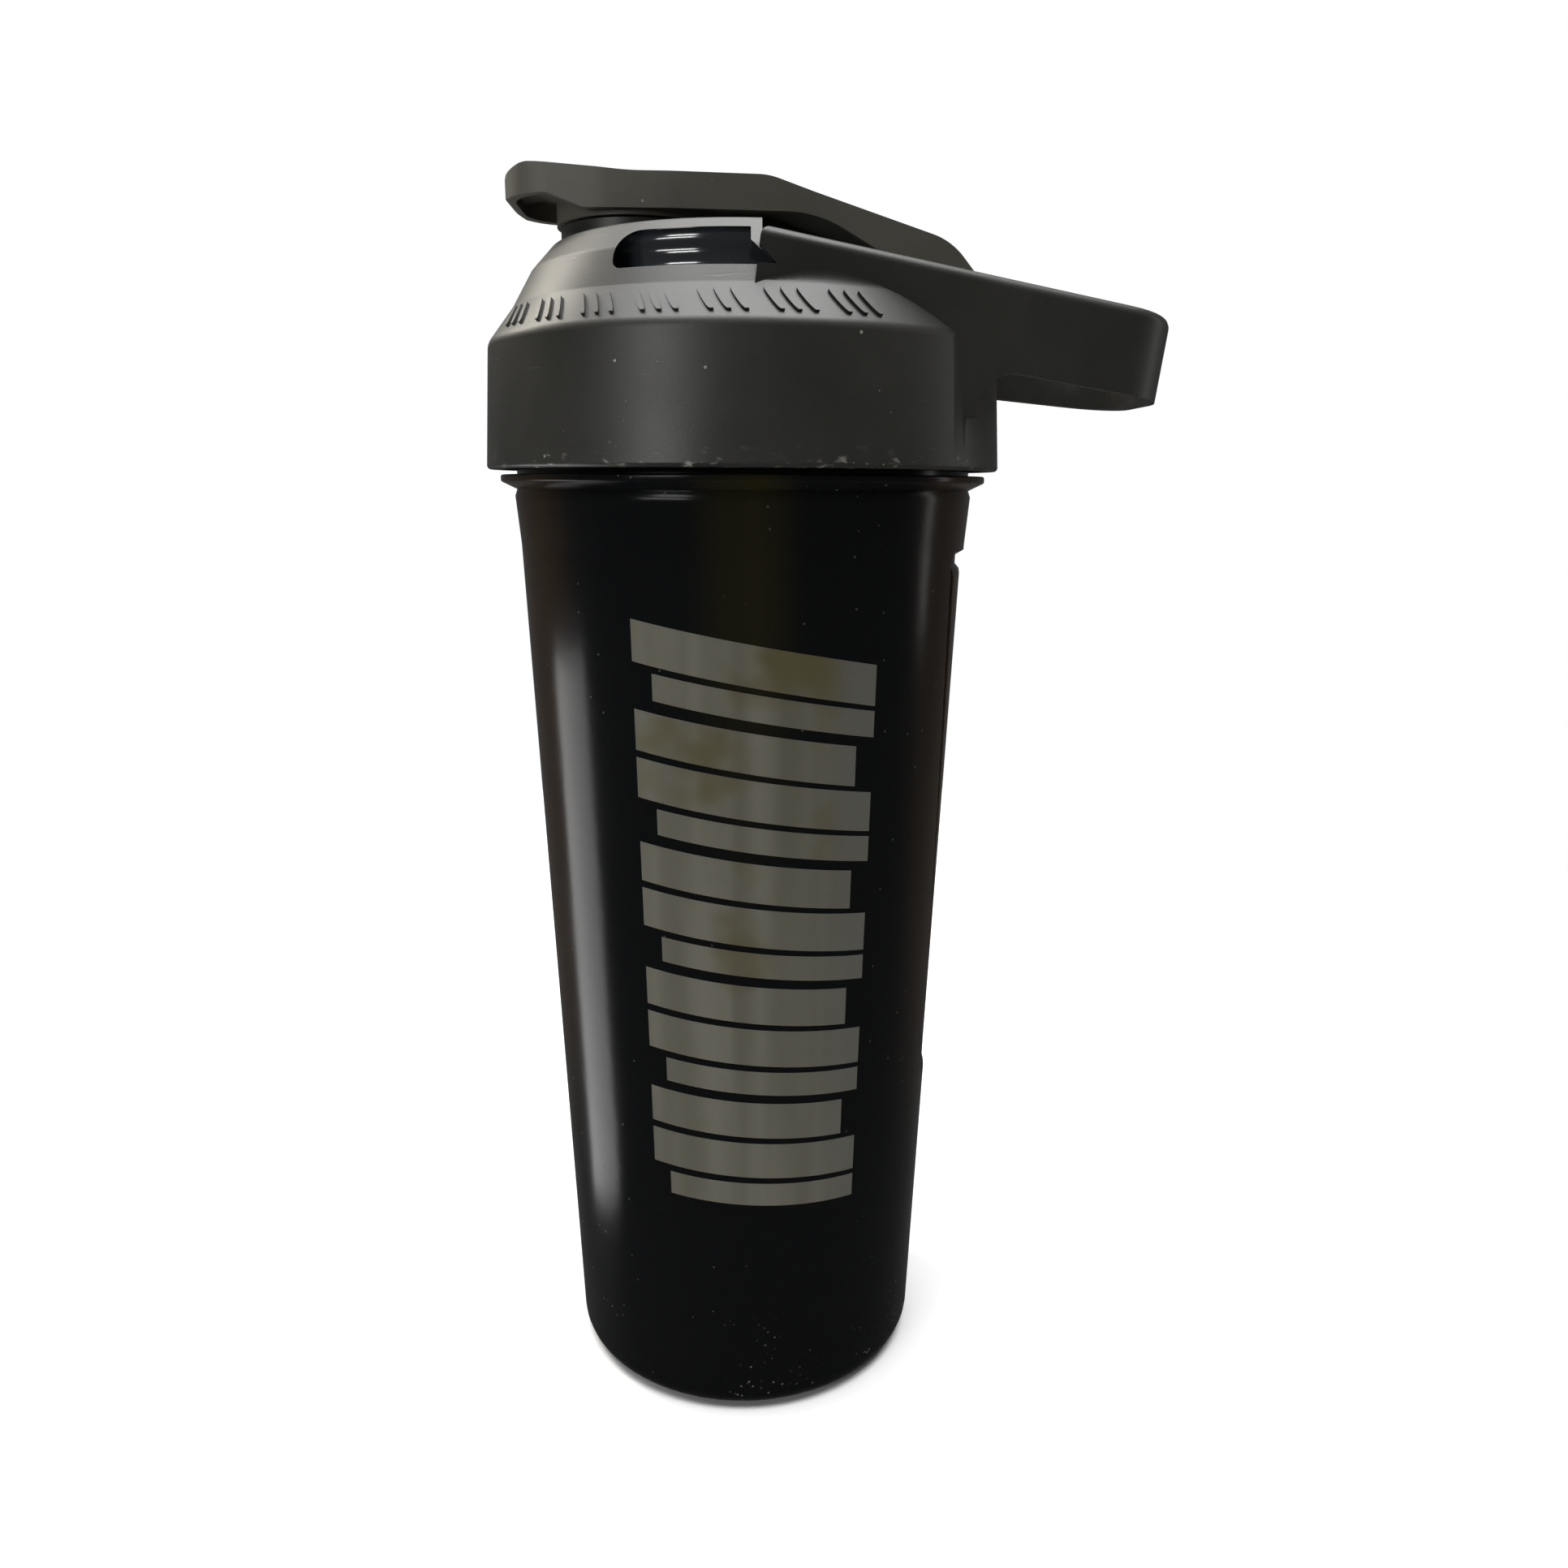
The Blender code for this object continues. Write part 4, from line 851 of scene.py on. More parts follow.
def cap_hollow_side():
    """Side outline (x, z) of the cap's hollow; the top plate ends before the hinge axis."""
    slope = (CAP_BEND_H - CAP_TAIL_H) / (CAP_BEND_RUN + CAP_TAIL_RUN)
    drop = CAP_WALL / math.cos(math.atan(slope))
    plate_x = HINGE_X - CAP_PLATE_RUN
    plate_z = LID_Z + CAP_BEND_H - drop - slope * (CAP_BEND_RUN - CAP_PLATE_RUN)
    far_x = HINGE_X + EAR_R + OVERSHOOT
    high = LID_Z + CAP_BROW_H + OVERSHOOT
    low = HINGE_Z - EAR_R - OVERSHOOT
    return rounded([
        (CAP_TIP_X + CAP_WALL, low, 0.0),
        (CAP_TIP_X + CAP_WALL, LID_Z + CAP_TIP_H - CAP_WALL, 0.0),
        (CAP_TIP_X + CAP_BROW_RUN, LID_Z + CAP_BROW_H - CAP_WALL, CAP_BROW_R),
        (HINGE_X - CAP_DIP_RUN, LID_Z + CAP_DIP_H - CAP_WALL, CAP_DIP_R),
        (HINGE_X - CAP_BEND_RUN, LID_Z + CAP_BEND_H - CAP_WALL, CAP_BEND_R - CAP_WALL),
        (plate_x, plate_z, 0.0),
        (plate_x + CAP_WALL / 2, high, 0.0),
        (far_x, high, 0.0),
        (far_x, low, 0.0),
    ])


def make_flip_cap():
    reach = CAP_BELLY_HALF_W + OVERSHOOT
    tail_x = HINGE_X + EAR_R + OVERSHOOT
    body = prism("cap_body", cap_side(), "Y", -reach, reach)
    plan = prism("cap_plan", cap_plan(0.0, CAP_HALF_W, tail_x), "Z",
                 HINGE_Z - 2 * EAR_R, LID_Z + CAP_BROW_H + OVERSHOOT)
    keep_inside(body, plan)
    edge = body.modifiers.new("edges", "BEVEL")
    edge.width = CAP_EDGE_R
    edge.segments = 4
    edge.limit_method = "ANGLE"
    edge.angle_limit = BEVEL_CREASE
    hollow = prism("cap_hollow", cap_hollow_side(), "Y", -reach, reach)
    hollow_plan = prism("cap_hollow_plan", cap_plan(CAP_WALL, EAR_INNER_Y, tail_x + OVERSHOOT), "Z",
                        HINGE_Z - 4 * EAR_R, LID_Z + CAP_BROW_H + 2 * OVERSHOOT)
    keep_inside(hollow, hollow_plan)
    cover_top = CEILING_Z + CAP_WALL / 2
    cover = turned("cover_ring", [
        (0.0, cover_top), (COVER_R, cover_top), (COVER_R, COVER_Z), (0.0, COVER_Z),
    ], RING_STEPS, centre=(SPOUT_X, 0.0))
    cover_bore = turned("cover_bore", [
        (0.0, CEILING_Z), (COVER_BORE_R, CEILING_Z),
        (COVER_BORE_R, COVER_Z - OVERSHOOT), (0.0, COVER_Z - OVERSHOOT),
    ], RING_STEPS, centre=(SPOUT_X, 0.0))
    blind = rod("ear_holes", PIN_R + PIN_GAP, HINGE_X, HINGE_Z, CAP_HALF_W - PIN_SKIN, SMALL_STEPS)
    cut(body, hollow)
    join(body, cover)
    cut(body, cover_bore, blind)
    return settle(body, "cap_shell", CAP_TRIM_EDGE)


# ---------------------------------------------------------------- cup in detail

def smooth(value, low, high):
    """Goes from 0 to 1 between low and high, level at both ends."""
    t = np.clip((value - low) / (high - low), 0.0, 1.0)
    return t * t * (3.0 - 2.0 * t)


def panel_depth(y, z):
    """Depth of the sight panel's frame and pad below the cup's taper, from the distance
    to the panel's rounded, tapered outline."""
    top_z = CUP_BODY_H - PANEL_DROP
    rise = (z - PANEL_BOTTOM) / (top_z - PANEL_BOTTOM)
    half = (PANEL_BOTTOM_W + (PANEL_TOP_W - PANEL_BOTTOM_W) * np.clip(rise, 0.0, 1.0)) / 2
    middle = (top_z + PANEL_BOTTOM) / 2
    across = np.abs(y) - half + PANEL_FRAME_W
    along = np.abs(z - middle) - (top_z - PANEL_BOTTOM) / 2 + PANEL_FRAME_W
    inside = np.minimum(np.maximum(across, along), 0.0)
    corner = np.hypot(np.maximum(across, 0.0), np.maximum(along, 0.0))
    away = inside + corner - PANEL_FRAME_W
    sunk = PANEL_FRAME_D * smooth(-away, 0.0, PANEL_EDGE)
    pad = (PANEL_FRAME_D - PANEL_PAD_D) * smooth(-away - PANEL_FRAME_W, -PANEL_EDGE, 0.0)
    return sunk - pad


def dense_profile(points):
    """The outline with points added, close together on the outer wall and further apart inside."""
    out = []
    for (r0, z0), (r1, z1) in zip(points, points[1:]):
        outer = r0 > cup_outer_r(z0) - CUP_WALL / 2 and r1 > cup_outer_r(z1) - CUP_WALL / 2
        spacing = CUP_ROW if outer and max(z0, z1) < FLARE_TOP_Z else CUP_ROW_INSIDE
        count = max(1, math.ceil(math.hypot(r1 - r0, z1 - z0) / spacing))
        for k in range(count):
            out.append((r0 + (r1 - r0) * k / count, z0 + (z1 - z0) * k / count))
    return out


def make_cup_wall():
    """Cup turned from its profile; on the outer wall the radius at (angle, height) is the
    taper less the sight panel's depth there."""
    points = cup_profile()
    ring = [p for p in dense_profile(points) if p[0] > MERGE]
    profile = np.array([points[0]] + ring + [points[-1]])
    rear = np.linspace(-PANEL_SECTOR, PANEL_SECTOR, PANEL_COLUMNS)
    front = np.linspace(PANEL_SECTOR, 2 * math.pi - PANEL_SECTOR, CUP_COLUMNS)[1:-1]
    angle = np.concatenate([rear, front])
    r = np.repeat(profile[1:-1, :1], len(angle), axis=1)
    z = np.repeat(profile[1:-1, 1:], len(angle), axis=1)
    taper = cup_outer_r(z)
    near_wall = (r > taper - CUP_WALL / 2) & (z > PANEL_BOTTOM / 2) & (z < CUP_BODY_H)
    facing = np.cos(angle)[None, :] > 0.0
    r = r - np.where(near_wall & facing, panel_depth(r * np.sin(angle), z), 0.0)
    verts = np.stack([r * np.cos(angle), r * np.sin(angle), z], axis=-1).reshape(-1, 3)
    faces = grid_faces(len(profile) - 2, len(angle), False, True)
    top = (0.0, 0.0, profile[0, 1])
    bottom = (0.0, 0.0, profile[-1, 1])
    wall = add_mesh("cup_wall", close_at_poles(verts, faces, len(angle), top, bottom), faces)
    face_outwards(wall)
    shade(wall)
    return wall


def make_cup_thread():
    ridge_z = LID_Z + THREAD_LIFT + flank_offset()
    return thread_ridge("cup_thread", NECK_R, NECK_R + THREAD_DEPTH, ridge_z)


def make_lid_thread():
    return thread_ridge("lid_thread", SKIRT_BORE_R, SKIRT_BORE_R - THREAD_DEPTH, LID_Z + THREAD_LIFT)


# ---------------------------------------------------------------- print and ribs

def slab(name, point, outlines, rows, cols, low, high):
    """Raised patches. Each outline gives (u, v) from s and t in 0..1; point gives the place
    of (u, v, lift). A patch is a closed sheet from lift low to lift high."""
    s, t = np.meshgrid(np.linspace(0, 1, rows), np.linspace(0, 1, cols), indexing="ij")
    verts = []
    faces = []
    for outline in outlines:
        u, v = outline(s, t)
        top = point(u, v, high).reshape(-1, 3)
        bottom = point(u, v, low).reshape(-1, 3)
        start = sum(len(part) for part in verts)
        count = rows * cols
        quads = np.array(grid_faces(rows, cols, False, False))
        faces += (quads + start).tolist()
        faces += (quads[:, ::-1] + start + count).tolist()
        index = np.arange(count).reshape(rows, cols)
        rim = np.concatenate([index[0, :-1], index[:-1, -1], index[-1, :0:-1], index[:0:-1, 0]])
        nxt = np.roll(rim, -1)
        sides = np.stack([rim + start, nxt + start, nxt + start + count, rim + start + count], axis=-1)
        faces += sides.tolist()
        verts += [top, bottom]
    piece = add_mesh(name, np.vstack(verts), faces)
    face_outwards(piece)
    shade(piece)
    return piece


def cup_point(theta, z, lift):
    """Place on the cup's front, theta turned from -Y towards +X."""
    r = cup_outer_r(z) + lift
    return np.stack([r * np.sin(theta), -r * np.cos(theta), z], axis=-1)


def print_bar(left, right, top, height, slope):
    def outline(s, t):
        theta = left + (right - left) * t
        middle = (left + right) / 2
        z = top - height * s - slope * (theta - middle)
        return theta, z
    return outline


def make_print():
    """A column of slanted bars, which get flatter downwards."""
    outlines = []
    z = PRINT_TOP
    for i in range(PRINT_BARS):
        share = i / (PRINT_BARS - 1)
        height = PRINT_BAR_H * (1.0 - PRINT_THIN * (i % 3 == 1))
        slope = PRINT_SLOPE * (1.0 - PRINT_FLATTEN * share)
        left = PRINT_LEFT + PRINT_STEP * (i % 3 == 1)
        right = PRINT_RIGHT - PRINT_STEP * (i % 3 == 2)
        outlines.append(print_bar(left, right, z, height, slope))
        z -= height + PRINT_GAP
    return slab("cup_print", cup_point, outlines, 3, 48, -PRINT_SINK, PRINT_RAISE)


def cone_point(theta, t, lift):
    """Place on the lid's lower cone: t runs from its foot to its top, lift along its normal."""
    r0 = SKIRT_R - SKIRT_DRAFT
    r1 = SKIRT_R - DOME_FOOT_IN
    z0 = LID_Z + SKIRT_H
    z1 = LID_Z + DOME_FOOT_H
    length = math.hypot(r1 - r0, z1 - z0)
    out = ((z1 - z0) / length, (r0 - r1) / length)
    r = r0 + (r1 - r0) * t + lift * out[0]
    z = z0 + (z1 - z0) * t + lift * out[1]
    return np.stack([r * np.sin(theta), -r * np.cos(theta), z], axis=-1)


def rib(theta):
    """A slanted stroke up the cone, narrower towards its ends."""
    def outline(s, t):
        across = (t - 0.5) * RIB_W * (0.55 + 0.45 * np.sqrt(np.clip(4 * s * (1 - s), 0, 1)))
        up = RIB_LOW + (RIB_HIGH - RIB_LOW) * s
        return theta + across + RIB_SLANT * (s - 0.5), up
    return outline


def mirrored(outline):
    """The same stroke on the far side of the lid."""
    def outline_there(s, t):
        theta, up = outline(s, t)
        return math.pi - theta, up
    return outline_there


def make_ribs():
    """Groups of three strokes round the cone, between the nose and the loop's arms."""
    outlines = []
    theta = RIB_START
    number = 0
    while theta < RIB_END:
        outlines.append(rib(theta))
        number += 1
        theta += RIB_PITCH * (2.0 if number % 3 == 0 else 1.0)
    far = [mirrored(outline) for outline in outlines]
    return slab("lid_ribs", cone_point, outlines + far, 12, 5, -RIB_SINK, RIB_RAISE)


# ---------------------------------------------------------------- finishes

class Value:
    """A number in a material's node tree. Arithmetic on it makes Math nodes."""

    def __init__(self, finish, socket):
        self.finish = finish
        self.socket = socket

    def math(self, operation, first, second):
        node = self.finish.node("ShaderNodeMath", {"operation": operation}, {0: first, 1: second})
        return Value(self.finish, node.outputs[0])

    def __add__(self, other):
        return self.math("ADD", self, other)

    def __radd__(self, other):
        return self.math("ADD", other, self)

    def __sub__(self, other):
        return self.math("SUBTRACT", self, other)

    def __rsub__(self, other):
        return self.math("SUBTRACT", other, self)

    def __mul__(self, other):
        return self.math("MULTIPLY", self, other)

    def __rmul__(self, other):
        return self.math("MULTIPLY", other, self)

    def __truediv__(self, other):
        return self.math("DIVIDE", self, other)

    def absolute(self):
        return self.math("ABSOLUTE", self, 0.0)

    def sine(self):
        return self.math("SINE", self, 0.0)

    def ramp(self, low, high, start=0.0, end=1.0):
        """Smoothly from start to end as the value goes from low to high."""
        node = self.finish.node("ShaderNodeMapRange", {"interpolation_type": "SMOOTHSTEP"}, {
            "Value": self, "From Min": low, "From Max": high, "To Min": start, "To Max": end})
        return Value(self.finish, node.outputs["Result"])


class Finish:
    """A procedural material built on one Principled BSDF."""

    def __init__(self, name, **constants):
        self.material = bpy.data.materials.new(name)
        self.material.use_nodes = True
        self.tree = self.material.node_tree
        self.shader = self.tree.nodes["Principled BSDF"]
        for key, value in constants.items():
            self.shader.inputs[key.replace("_", " ").title().replace("Ior", "IOR")].default_value = value
        coords = self.node("ShaderNodeTexCoord", {}, {})
        self.place = coords.outputs["Object"]
        split = self.node("ShaderNodeSeparateXYZ", {}, {0: self.place})
        self.x = Value(self, split.outputs[0])
        self.y = Value(self, split.outputs[1])
        self.z = Value(self, split.outputs[2])

    def node(self, kind, settings, inputs):
        node = self.tree.nodes.new(kind)
        for key, value in settings.items():
            setattr(node, key, value)
        for key, value in inputs.items():
            self.feed(node.inputs[key], value)
        return node

    def feed(self, socket, value):
        if isinstance(value, Value):
            self.tree.links.new(value.socket, socket)
        elif isinstance(value, bpy.types.NodeSocket):
            self.tree.links.new(value, socket)
        else:
            socket.default_value = value

    def noise(self, scale, detail=2.0, stretch=(1.0, 1.0, 1.0), roughness=0.5, distortion=0.0):
        """Cloudy pattern from 0 to 1; scale counts lumps a metre."""
        where = self.node("ShaderNodeVectorMath", {"operation": "MULTIPLY"}, {0: self.place, 1: stretch})
        node = self.node("ShaderNodeTexNoise", {}, {
            "Vector": where.outputs[0], "Scale": scale, "Detail": detail,
            "Roughness": roughness, "Distortion": distortion})
        return Value(self, node.outputs["Fac"])

    def specks(self, scale, size, stretch=(1.0, 1.0, 1.0)):
        """1 inside scattered dots of the given size (a share of their spacing), 0 outside."""
        where = self.node("ShaderNodeVectorMath", {"operation": "MULTIPLY"}, {0: self.place, 1: stretch})
        node = self.node("ShaderNodeTexVoronoi", {"feature": "F1"}, {
            "Vector": where.outputs[0], "Scale": scale, "Randomness": 1.0})
        return Value(self, node.outputs["Distance"]).ramp(size, size * 0.6)

    def blend(self, factor, first, second):
        node = self.node("ShaderNodeMix", {"data_type": "RGBA"}, {})
        self.feed(node.inputs[0], factor)
        self.feed(node.inputs[6], first)
        self.feed(node.inputs[7], second)
        return node.outputs[2]

    def bump(self, height, distance):
        node = self.node("ShaderNodeBump", {}, {"Height": height, "Distance": distance, "Strength": 1.0})
        self.feed(self.shader.inputs["Normal"], node.outputs[0])

    def set(self, **inputs):
        for key, value in inputs.items():
            self.feed(self.shader.inputs[key.replace("_", " ").title()], value)
        return self.material


def colour(r, g, b):
    """Colour from values of 0 to 255 as a screen shows them."""
    def linear(c):
        c = c / 255
        return c / 12.92 if c <= 0.04045 else ((c + 0.055) / 1.055) ** 2.4
    return (linear(r), linear(g), linear(b), 1.0)


def smoky_plastic():
    """Nearly black see-through plastic, with painted light: an olive glow across its middle and top where
    light gets through, a brown glow towards its sides; scuffed at its foot.
    """
    f = Finish("smoky_plastic", ior=1.5, specular_ior_level=0.12)
    streaks = f.noise(60.0, 3.0, (1.0, 1.0, 0.08))
    # painted glow: an olive patch across the middle and top of the cup stands in for light shining through
    # it
    tint = (f.x / 0.011).absolute().ramp(1.0, 0.1)
    high = f.z.ramp(0.100, 0.172)
    share = tint * high * streaks.ramp(0.3, 0.7, 0.5, 1.0)
    body_with_painted_glow = f.blend(share, colour(10, 11, 12), colour(27, 25, 11))
    # painted glow: the cup turns brown towards its left and right sides, standing in for light through the
    # wall
    edge = f.x.absolute().ramp(0.027, 0.037)
    body_with_painted_glows = f.blend(edge * f.z.ramp(0.03, 0.10) * streaks, body_with_painted_glow, colour(46, 34, 20))
    foot = f.z.ramp(0.030, 0.002)
    marks = f.specks(700.0, 0.20) * f.noise(90.0, 4.0).ramp(0.50, 0.62) * foot
    fine = f.noise(900.0, 4.0, (1.0, 1.0, 0.3)).ramp(0.60, 0.75) * foot * 0.6
    dust = f.specks(260.0, 0.07)
    worn = marks + fine * 0.12 + dust * 0.4
    base = f.blend(worn.ramp(0.0, 1.0, 0.0, 0.6), body_with_painted_glows, colour(110, 108, 104))
    f.bump(f.noise(220.0, 2.0) * 0.00002 + worn * 0.00002, 1.0)
    rough = 0.13 + f.noise(40.0, 4.0) * 0.10 + worn * 0.25 + foot * 0.10
    return f.set(base_color=base, roughness=rough)


def moulded_plastic(name, body, worn_body, roughness, edge_z):
    """Satin moulded plastic: fine grain, cloudy sheen, specks and rubbed marks by its edge."""
    f = Finish(name, ior=1.49, specular_ior_level=0.6)
    cloud = f.noise(28.0, 5.0, roughness=0.6)
    grain = f.noise(2600.0, 2.0)
    dust = f.specks(170.0, 0.06) + f.specks(330.0, 0.05) * f.noise(30.0, 2.0).ramp(0.45, 0.6)
    rub = f.noise(420.0, 4.0, (1.0, 1.0, 2.2)).ramp(0.55, 0.72) * f.z.ramp(edge_z + 0.0045, edge_z)
    scratch = f.noise(300.0, 3.0, (0.15, 0.15, 3.0), distortion=1.5).ramp(0.66, 0.74)
    tone = f.blend(cloud.ramp(0.3, 0.75), body, worn_body)
    worn = dust * 0.55 + rub * 0.5 + scratch * 0.12
    base = f.blend(worn.ramp(0.0, 1.0), tone, colour(150, 148, 140))
    height = grain * 0.000012 + cloud * 0.00004 + scratch * -0.00001 + dust * 0.00003
    f.bump(height, 1.0)
    rough = roughness + (cloud - 0.5) * 0.22 + grain * 0.04 - scratch * 0.08 + worn * 0.1
    return f.set(base_color=base, roughness=rough)


def polished_plastic():
    """Gloss black plastic of the flank pockets, faintly rippled."""
    f = Finish("polished_plastic", ior=1.5, specular_ior_level=0.9)
    ripple = f.noise(120.0, 2.0)
    phase = (f.z - LID_Z - POCKET_FLOOR_H) * (2 * math.pi / POCKET_WAVE)
    f.bump(phase.sine() * POCKET_WAVE_D + ripple * 0.00005, 1.0)
    base = f.blend(f.noise(50.0, 3.0), colour(34, 38, 43), colour(50, 54, 58))
    return f.set(base_color=base, roughness=0.07 + ripple * 0.08)


def print_ink():
    """Satin olive grey print, thinner in soft upright streaks."""
    f = Finish("print_ink", ior=1.45)
    streak = f.noise(110.0, 2.0, (1.0, 1.0, 0.06), distortion=0.3)
    patch = f.noise(45.0, 3.0)
    ink = f.blend(streak.ramp(0.35, 0.7), colour(82, 80, 68), colour(100, 98, 86))
    tint = f.blend(patch.ramp(0.52, 0.7), ink, colour(78, 72, 46))
    # painted shade: towards its right-hand side the print turns a plainer, slightly darker grey
    side = f.blend(f.x.ramp(0.012, 0.020), tint, colour(84, 83, 76))
    pin = f.specks(900.0, 0.16) * f.noise(60.0, 3.0).ramp(0.55, 0.7)
    base = f.blend(pin * 0.5, side, colour(30, 30, 27))
    f.bump(f.noise(1800.0, 2.0) * 0.000008, 1.0)
    return f.set(base_color=base, roughness=0.40 + streak * 0.12, metallic=0.08 + 0.12 * streak)


def soft_rubber():
    """Matt black silicone with a dusty bloom."""
    f = Finish("soft_silicone", ior=1.42)
    bloom = f.noise(160.0, 4.0)
    base = f.blend(bloom.ramp(0.4, 0.8), colour(44, 44, 44), colour(62, 61, 60))
    f.bump(f.noise(1500.0, 2.0) * 0.00001, 1.0)
    return f.set(base_color=base, roughness=0.62 + bloom * 0.2)


def steel_pin():
    """Drawn steel: fine lines along the pin."""
    f = Finish("drawn_steel")
    lines = f.noise(1400.0, 3.0, (1.0, 0.05, 1.0))
    base = f.blend(lines, colour(176, 176, 178), colour(205, 205, 206))
    f.bump(lines * 0.000004, 1.0)
    return f.set(base_color=base, roughness=0.22 + lines * 0.15, metallic=1.0 - lines * 0.05)


# ---------------------------------------------------------------- placing the pieces

def dome_radius(z):
    """Outer radius of the lid's dome at a height."""
    heights = [LID_Z + SKIRT_H, LID_Z + DOME_FOOT_H, LID_Z + DOME_RIM_H, DECK_Z]
    radii = [SKIRT_R - SKIRT_DRAFT, SKIRT_R - DOME_FOOT_IN, SKIRT_R - DOME_RIM_IN, DECK_R]
    return float(np.interp(z, heights, radii))


def in_pocket(centre):
    """Whether a place on the lid is inside one of the flank pockets."""
    reach = math.hypot(centre.x, centre.y)
    level = LID_Z + POCKET_FLOOR_H - FIT_GAP < centre.z < LID_Z + POCKET_TOP_H + FIT_GAP
    sunk = POCKET_BACK_R - FIT_GAP < reach < dome_radius(centre.z) - 0.5 * FIT_GAP
    along = POCKET_START_X - FIT_GAP < centre.x < LOOP_START_X + POCKET_SLANT + FIT_GAP
    return level and sunk and along and abs(centre.y) > CHAMBER_R / 2


def wear(piece, body, slot, *materials):
    """Gives a piece its material and its body; the slot argument is not used."""
    piece.data.materials.clear()
    for material in materials:
        piece.data.materials.append(material)
    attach(piece, body)


def dress():
    smoky = smoky_plastic()
    lid_plastic = moulded_plastic("charcoal_satin", colour(27, 27, 23), colour(37, 36, 32), 0.40, LID_Z)
    cap_plastic = moulded_plastic("warm_grey_satin", colour(66, 64, 56), colour(78, 76, 67), 0.50, 0.0)
    gloss = polished_plastic()
    rubber = soft_rubber()
    wall = make_cup_wall()
    thread = make_cup_thread()
    lid_thread = make_lid_thread()
    marks = make_print()
    ribs = make_ribs()
    lid = make_lid()
    cap = make_flip_cap()
    wear(wall, "cup_body", "smoky_clear_plastic", smoky)
    wear(thread, "cup_body", "smoky_clear_plastic", smoky)
    wear(marks, "cup_body", "smoky_clear_plastic", print_ink())
    wear(lid, "lid_body", "charcoal_plastic", lid_plastic, gloss)
    wear(ribs, "lid_body", "charcoal_plastic", lid_plastic)
    wear(lid_thread, "lid_body", "charcoal_plastic", lid_plastic)
    wear(cap, "cap_body", "warm_grey_plastic", cap_plastic)
    for polygon in lid.data.polygons:
        polygon.material_index = int(in_pocket(polygon.center))
    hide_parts("cup")
    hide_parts("lid")
    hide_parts("flip_cap")
    plain = {
        "spout_seal": rubber,
        "lid_gasket": rubber,
        "mixing_grid": moulded_plastic("grid_satin", colour(40, 40, 40), colour(50, 50, 49), 0.40, GRID_Z),
        "hinge_pin": steel_pin(),
    }
    for node, material in plain.items():
        slots = frame["nodes"][node].material_slots
        slots[0].material = material
    kept = {wall.name, thread.name, lid_thread.name, marks.name, ribs.name, lid.name, cap.name}
    discard_tools(kept | set(frame["nodes"]))


# ---------------------------------------------------------------- studio

def make_floor():
    """Pale disc under the bottle: point (r, t) goes to (r cos t, r sin t)."""
    angle = np.linspace(0.0, 2 * math.pi, FLOOR_STEPS, endpoint=False)
    rim = np.stack([FLOOR * np.cos(angle), FLOOR * np.sin(angle), np.full(FLOOR_STEPS, FLOOR_Z)], axis=-1)
    floor = add_mesh("floor", rim, [list(range(FLOOR_STEPS))])
    f = Finish("studio_floor")
    base = f.blend(f.noise(4.0, 2.0), (0.90, 0.90, 0.90, 1.0), (0.93, 0.93, 0.93, 1.0))
    floor.data.materials.append(f.set(base_color=base, roughness=0.9 + 0.05 * f.noise(30.0)))
    floor.visible_glossy = False


def make_light(name, place, target, size, radiance, tint=(1.0, 1.0, 1.0)):
    """Rectangular softbox of a given radiance, facing its target."""
    lamp = bpy.data.lights.new(name, "AREA")
    lamp.shape = "RECTANGLE"
    lamp.size = size[0]
    lamp.size_y = size[1]
    lamp.energy = radiance * math.pi * size[0] * size[1]
    lamp.color = tint
    obj = bpy.data.objects.new(name, lamp)
    bpy.context.scene.collection.objects.link(obj)
    obj.location = place
    obj.rotation_euler = (Vector(target) - Vector(place)).to_track_quat("-Z", "Y").to_euler()


def make_sun():
    """Wide soft sky light from straight above, which lights the floor evenly."""
    lamp = bpy.data.lights.new("sky", "SUN")
    lamp.energy = SKY
    lamp.angle = math.radians(70)
    obj = bpy.data.objects.new("sky", lamp)
    bpy.context.scene.collection.objects.link(obj)
    obj.rotation_euler = (math.radians(-8), 0.0, 0.0)


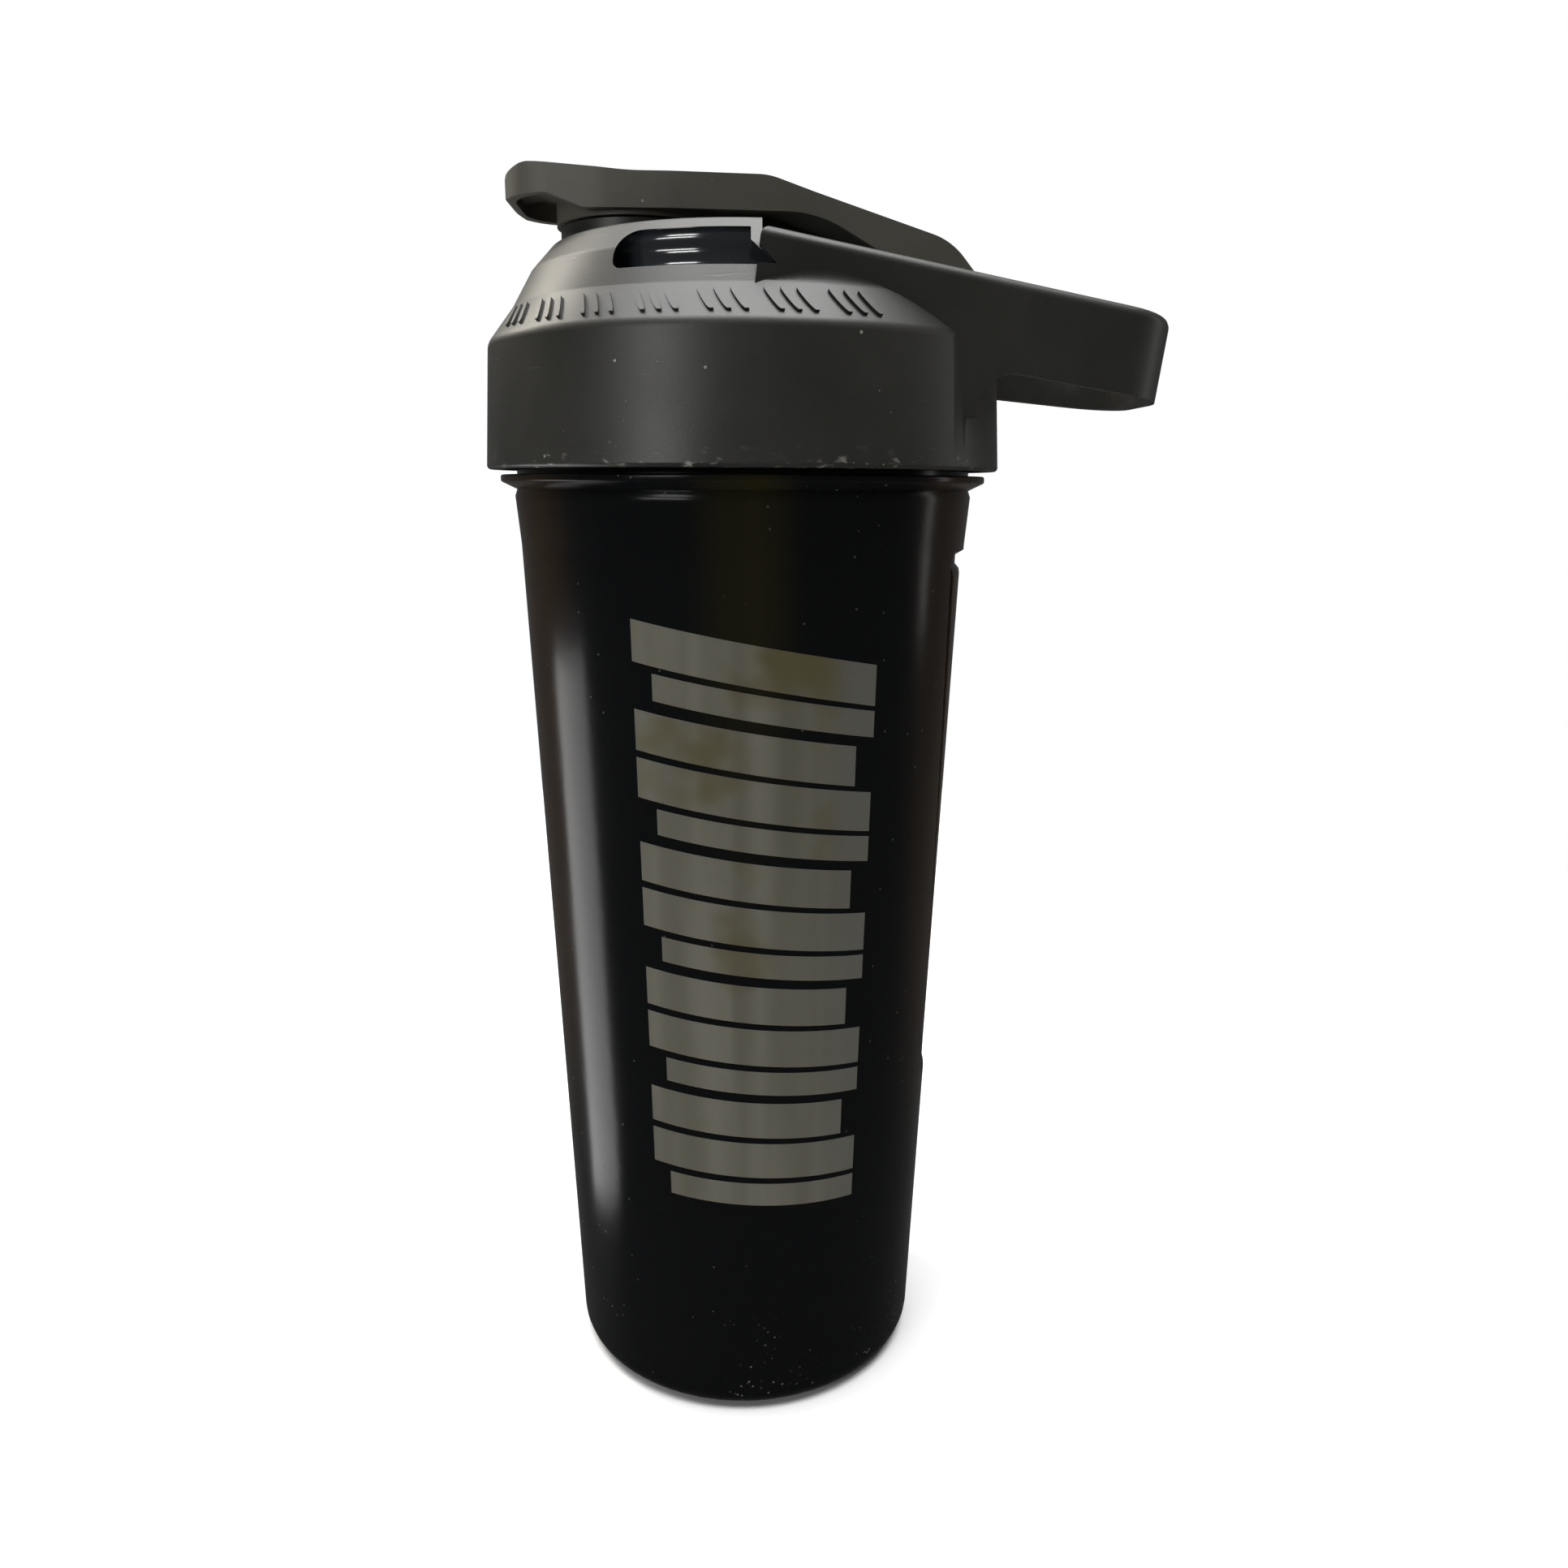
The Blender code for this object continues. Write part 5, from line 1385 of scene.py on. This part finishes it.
def make_world():
    """White to look at, dim as a source of light."""
    world = bpy.data.worlds.new("studio")
    bpy.context.scene.world = world
    world.use_nodes = True
    tree = world.node_tree
    seen = tree.nodes.new("ShaderNodeLightPath")
    level = tree.nodes.new("ShaderNodeMapRange")
    level.inputs["To Min"].default_value = AMBIENT
    level.inputs["To Max"].default_value = BACKDROP
    tree.links.new(seen.outputs["Is Camera Ray"], level.inputs["Value"])
    tree.links.new(level.outputs["Result"], tree.nodes["Background"].inputs["Strength"])
    tree.nodes["Background"].inputs["Color"].default_value = (1.0, 1.0, 1.0, 1.0)


def make_camera():
    data = bpy.data.cameras.new("camera")
    data.lens = 28.286
    data.sensor_width = 36.0
    data.clip_start = 0.01
    camera = bpy.data.objects.new("camera", data)
    bpy.context.scene.collection.objects.link(camera)
    yaw = math.radians(1.875)
    pitch = math.radians(13.53)
    roll = math.radians(0.28)
    look = Vector((math.cos(pitch) * math.sin(yaw), math.cos(pitch) * math.cos(yaw), -math.sin(pitch)))
    level_right = Vector((math.cos(yaw), -math.sin(yaw), 0.0))
    level_up = level_right.cross(look)
    right = math.cos(roll) * level_right + math.sin(roll) * level_up
    up = right.cross(look)
    turn = Matrix((right, up, -look)).transposed()
    camera.matrix_world = Matrix.Translation((0.0, -0.24506, 0.1785)) @ turn.to_4x4()
    bpy.context.scene.camera = camera


def make_studio():
    make_floor()
    make_world()
    make_camera()
    make_sun()
    make_light("overhead", (0.0, -0.14, 1.00), (0.0, 0.0, 0.20), (0.90, 0.55), 5.0)
    make_light("left_side", (-0.235, 0.030, 0.005), (0.0, 0.0, 0.030), (0.11, 0.21), 4.5)
    make_light("left_high", (-0.61, 0.45, 0.72), (-0.02, 0.0, 0.20), (0.16, 0.42), 15.0, (1.0, 0.95, 0.84))
    make_light("left_strip", (-0.50, -0.72, 0.450), (0.0, 0.0, 0.21), (0.26, 0.060), 16.0)
    make_light("left_strip_low", (-0.54, -0.70, 0.300), (0.0, 0.0, 0.21), (0.34, 0.050), 16.0)
    make_light("right_side", (0.90, 0.20, 0.30), (0.0, 0.0, 0.12), (0.10, 0.60), 2.0)
    bpy.context.scene.view_settings.view_transform = "Standard"
    bpy.context.scene.view_settings.look = "None"


dress()
make_studio()
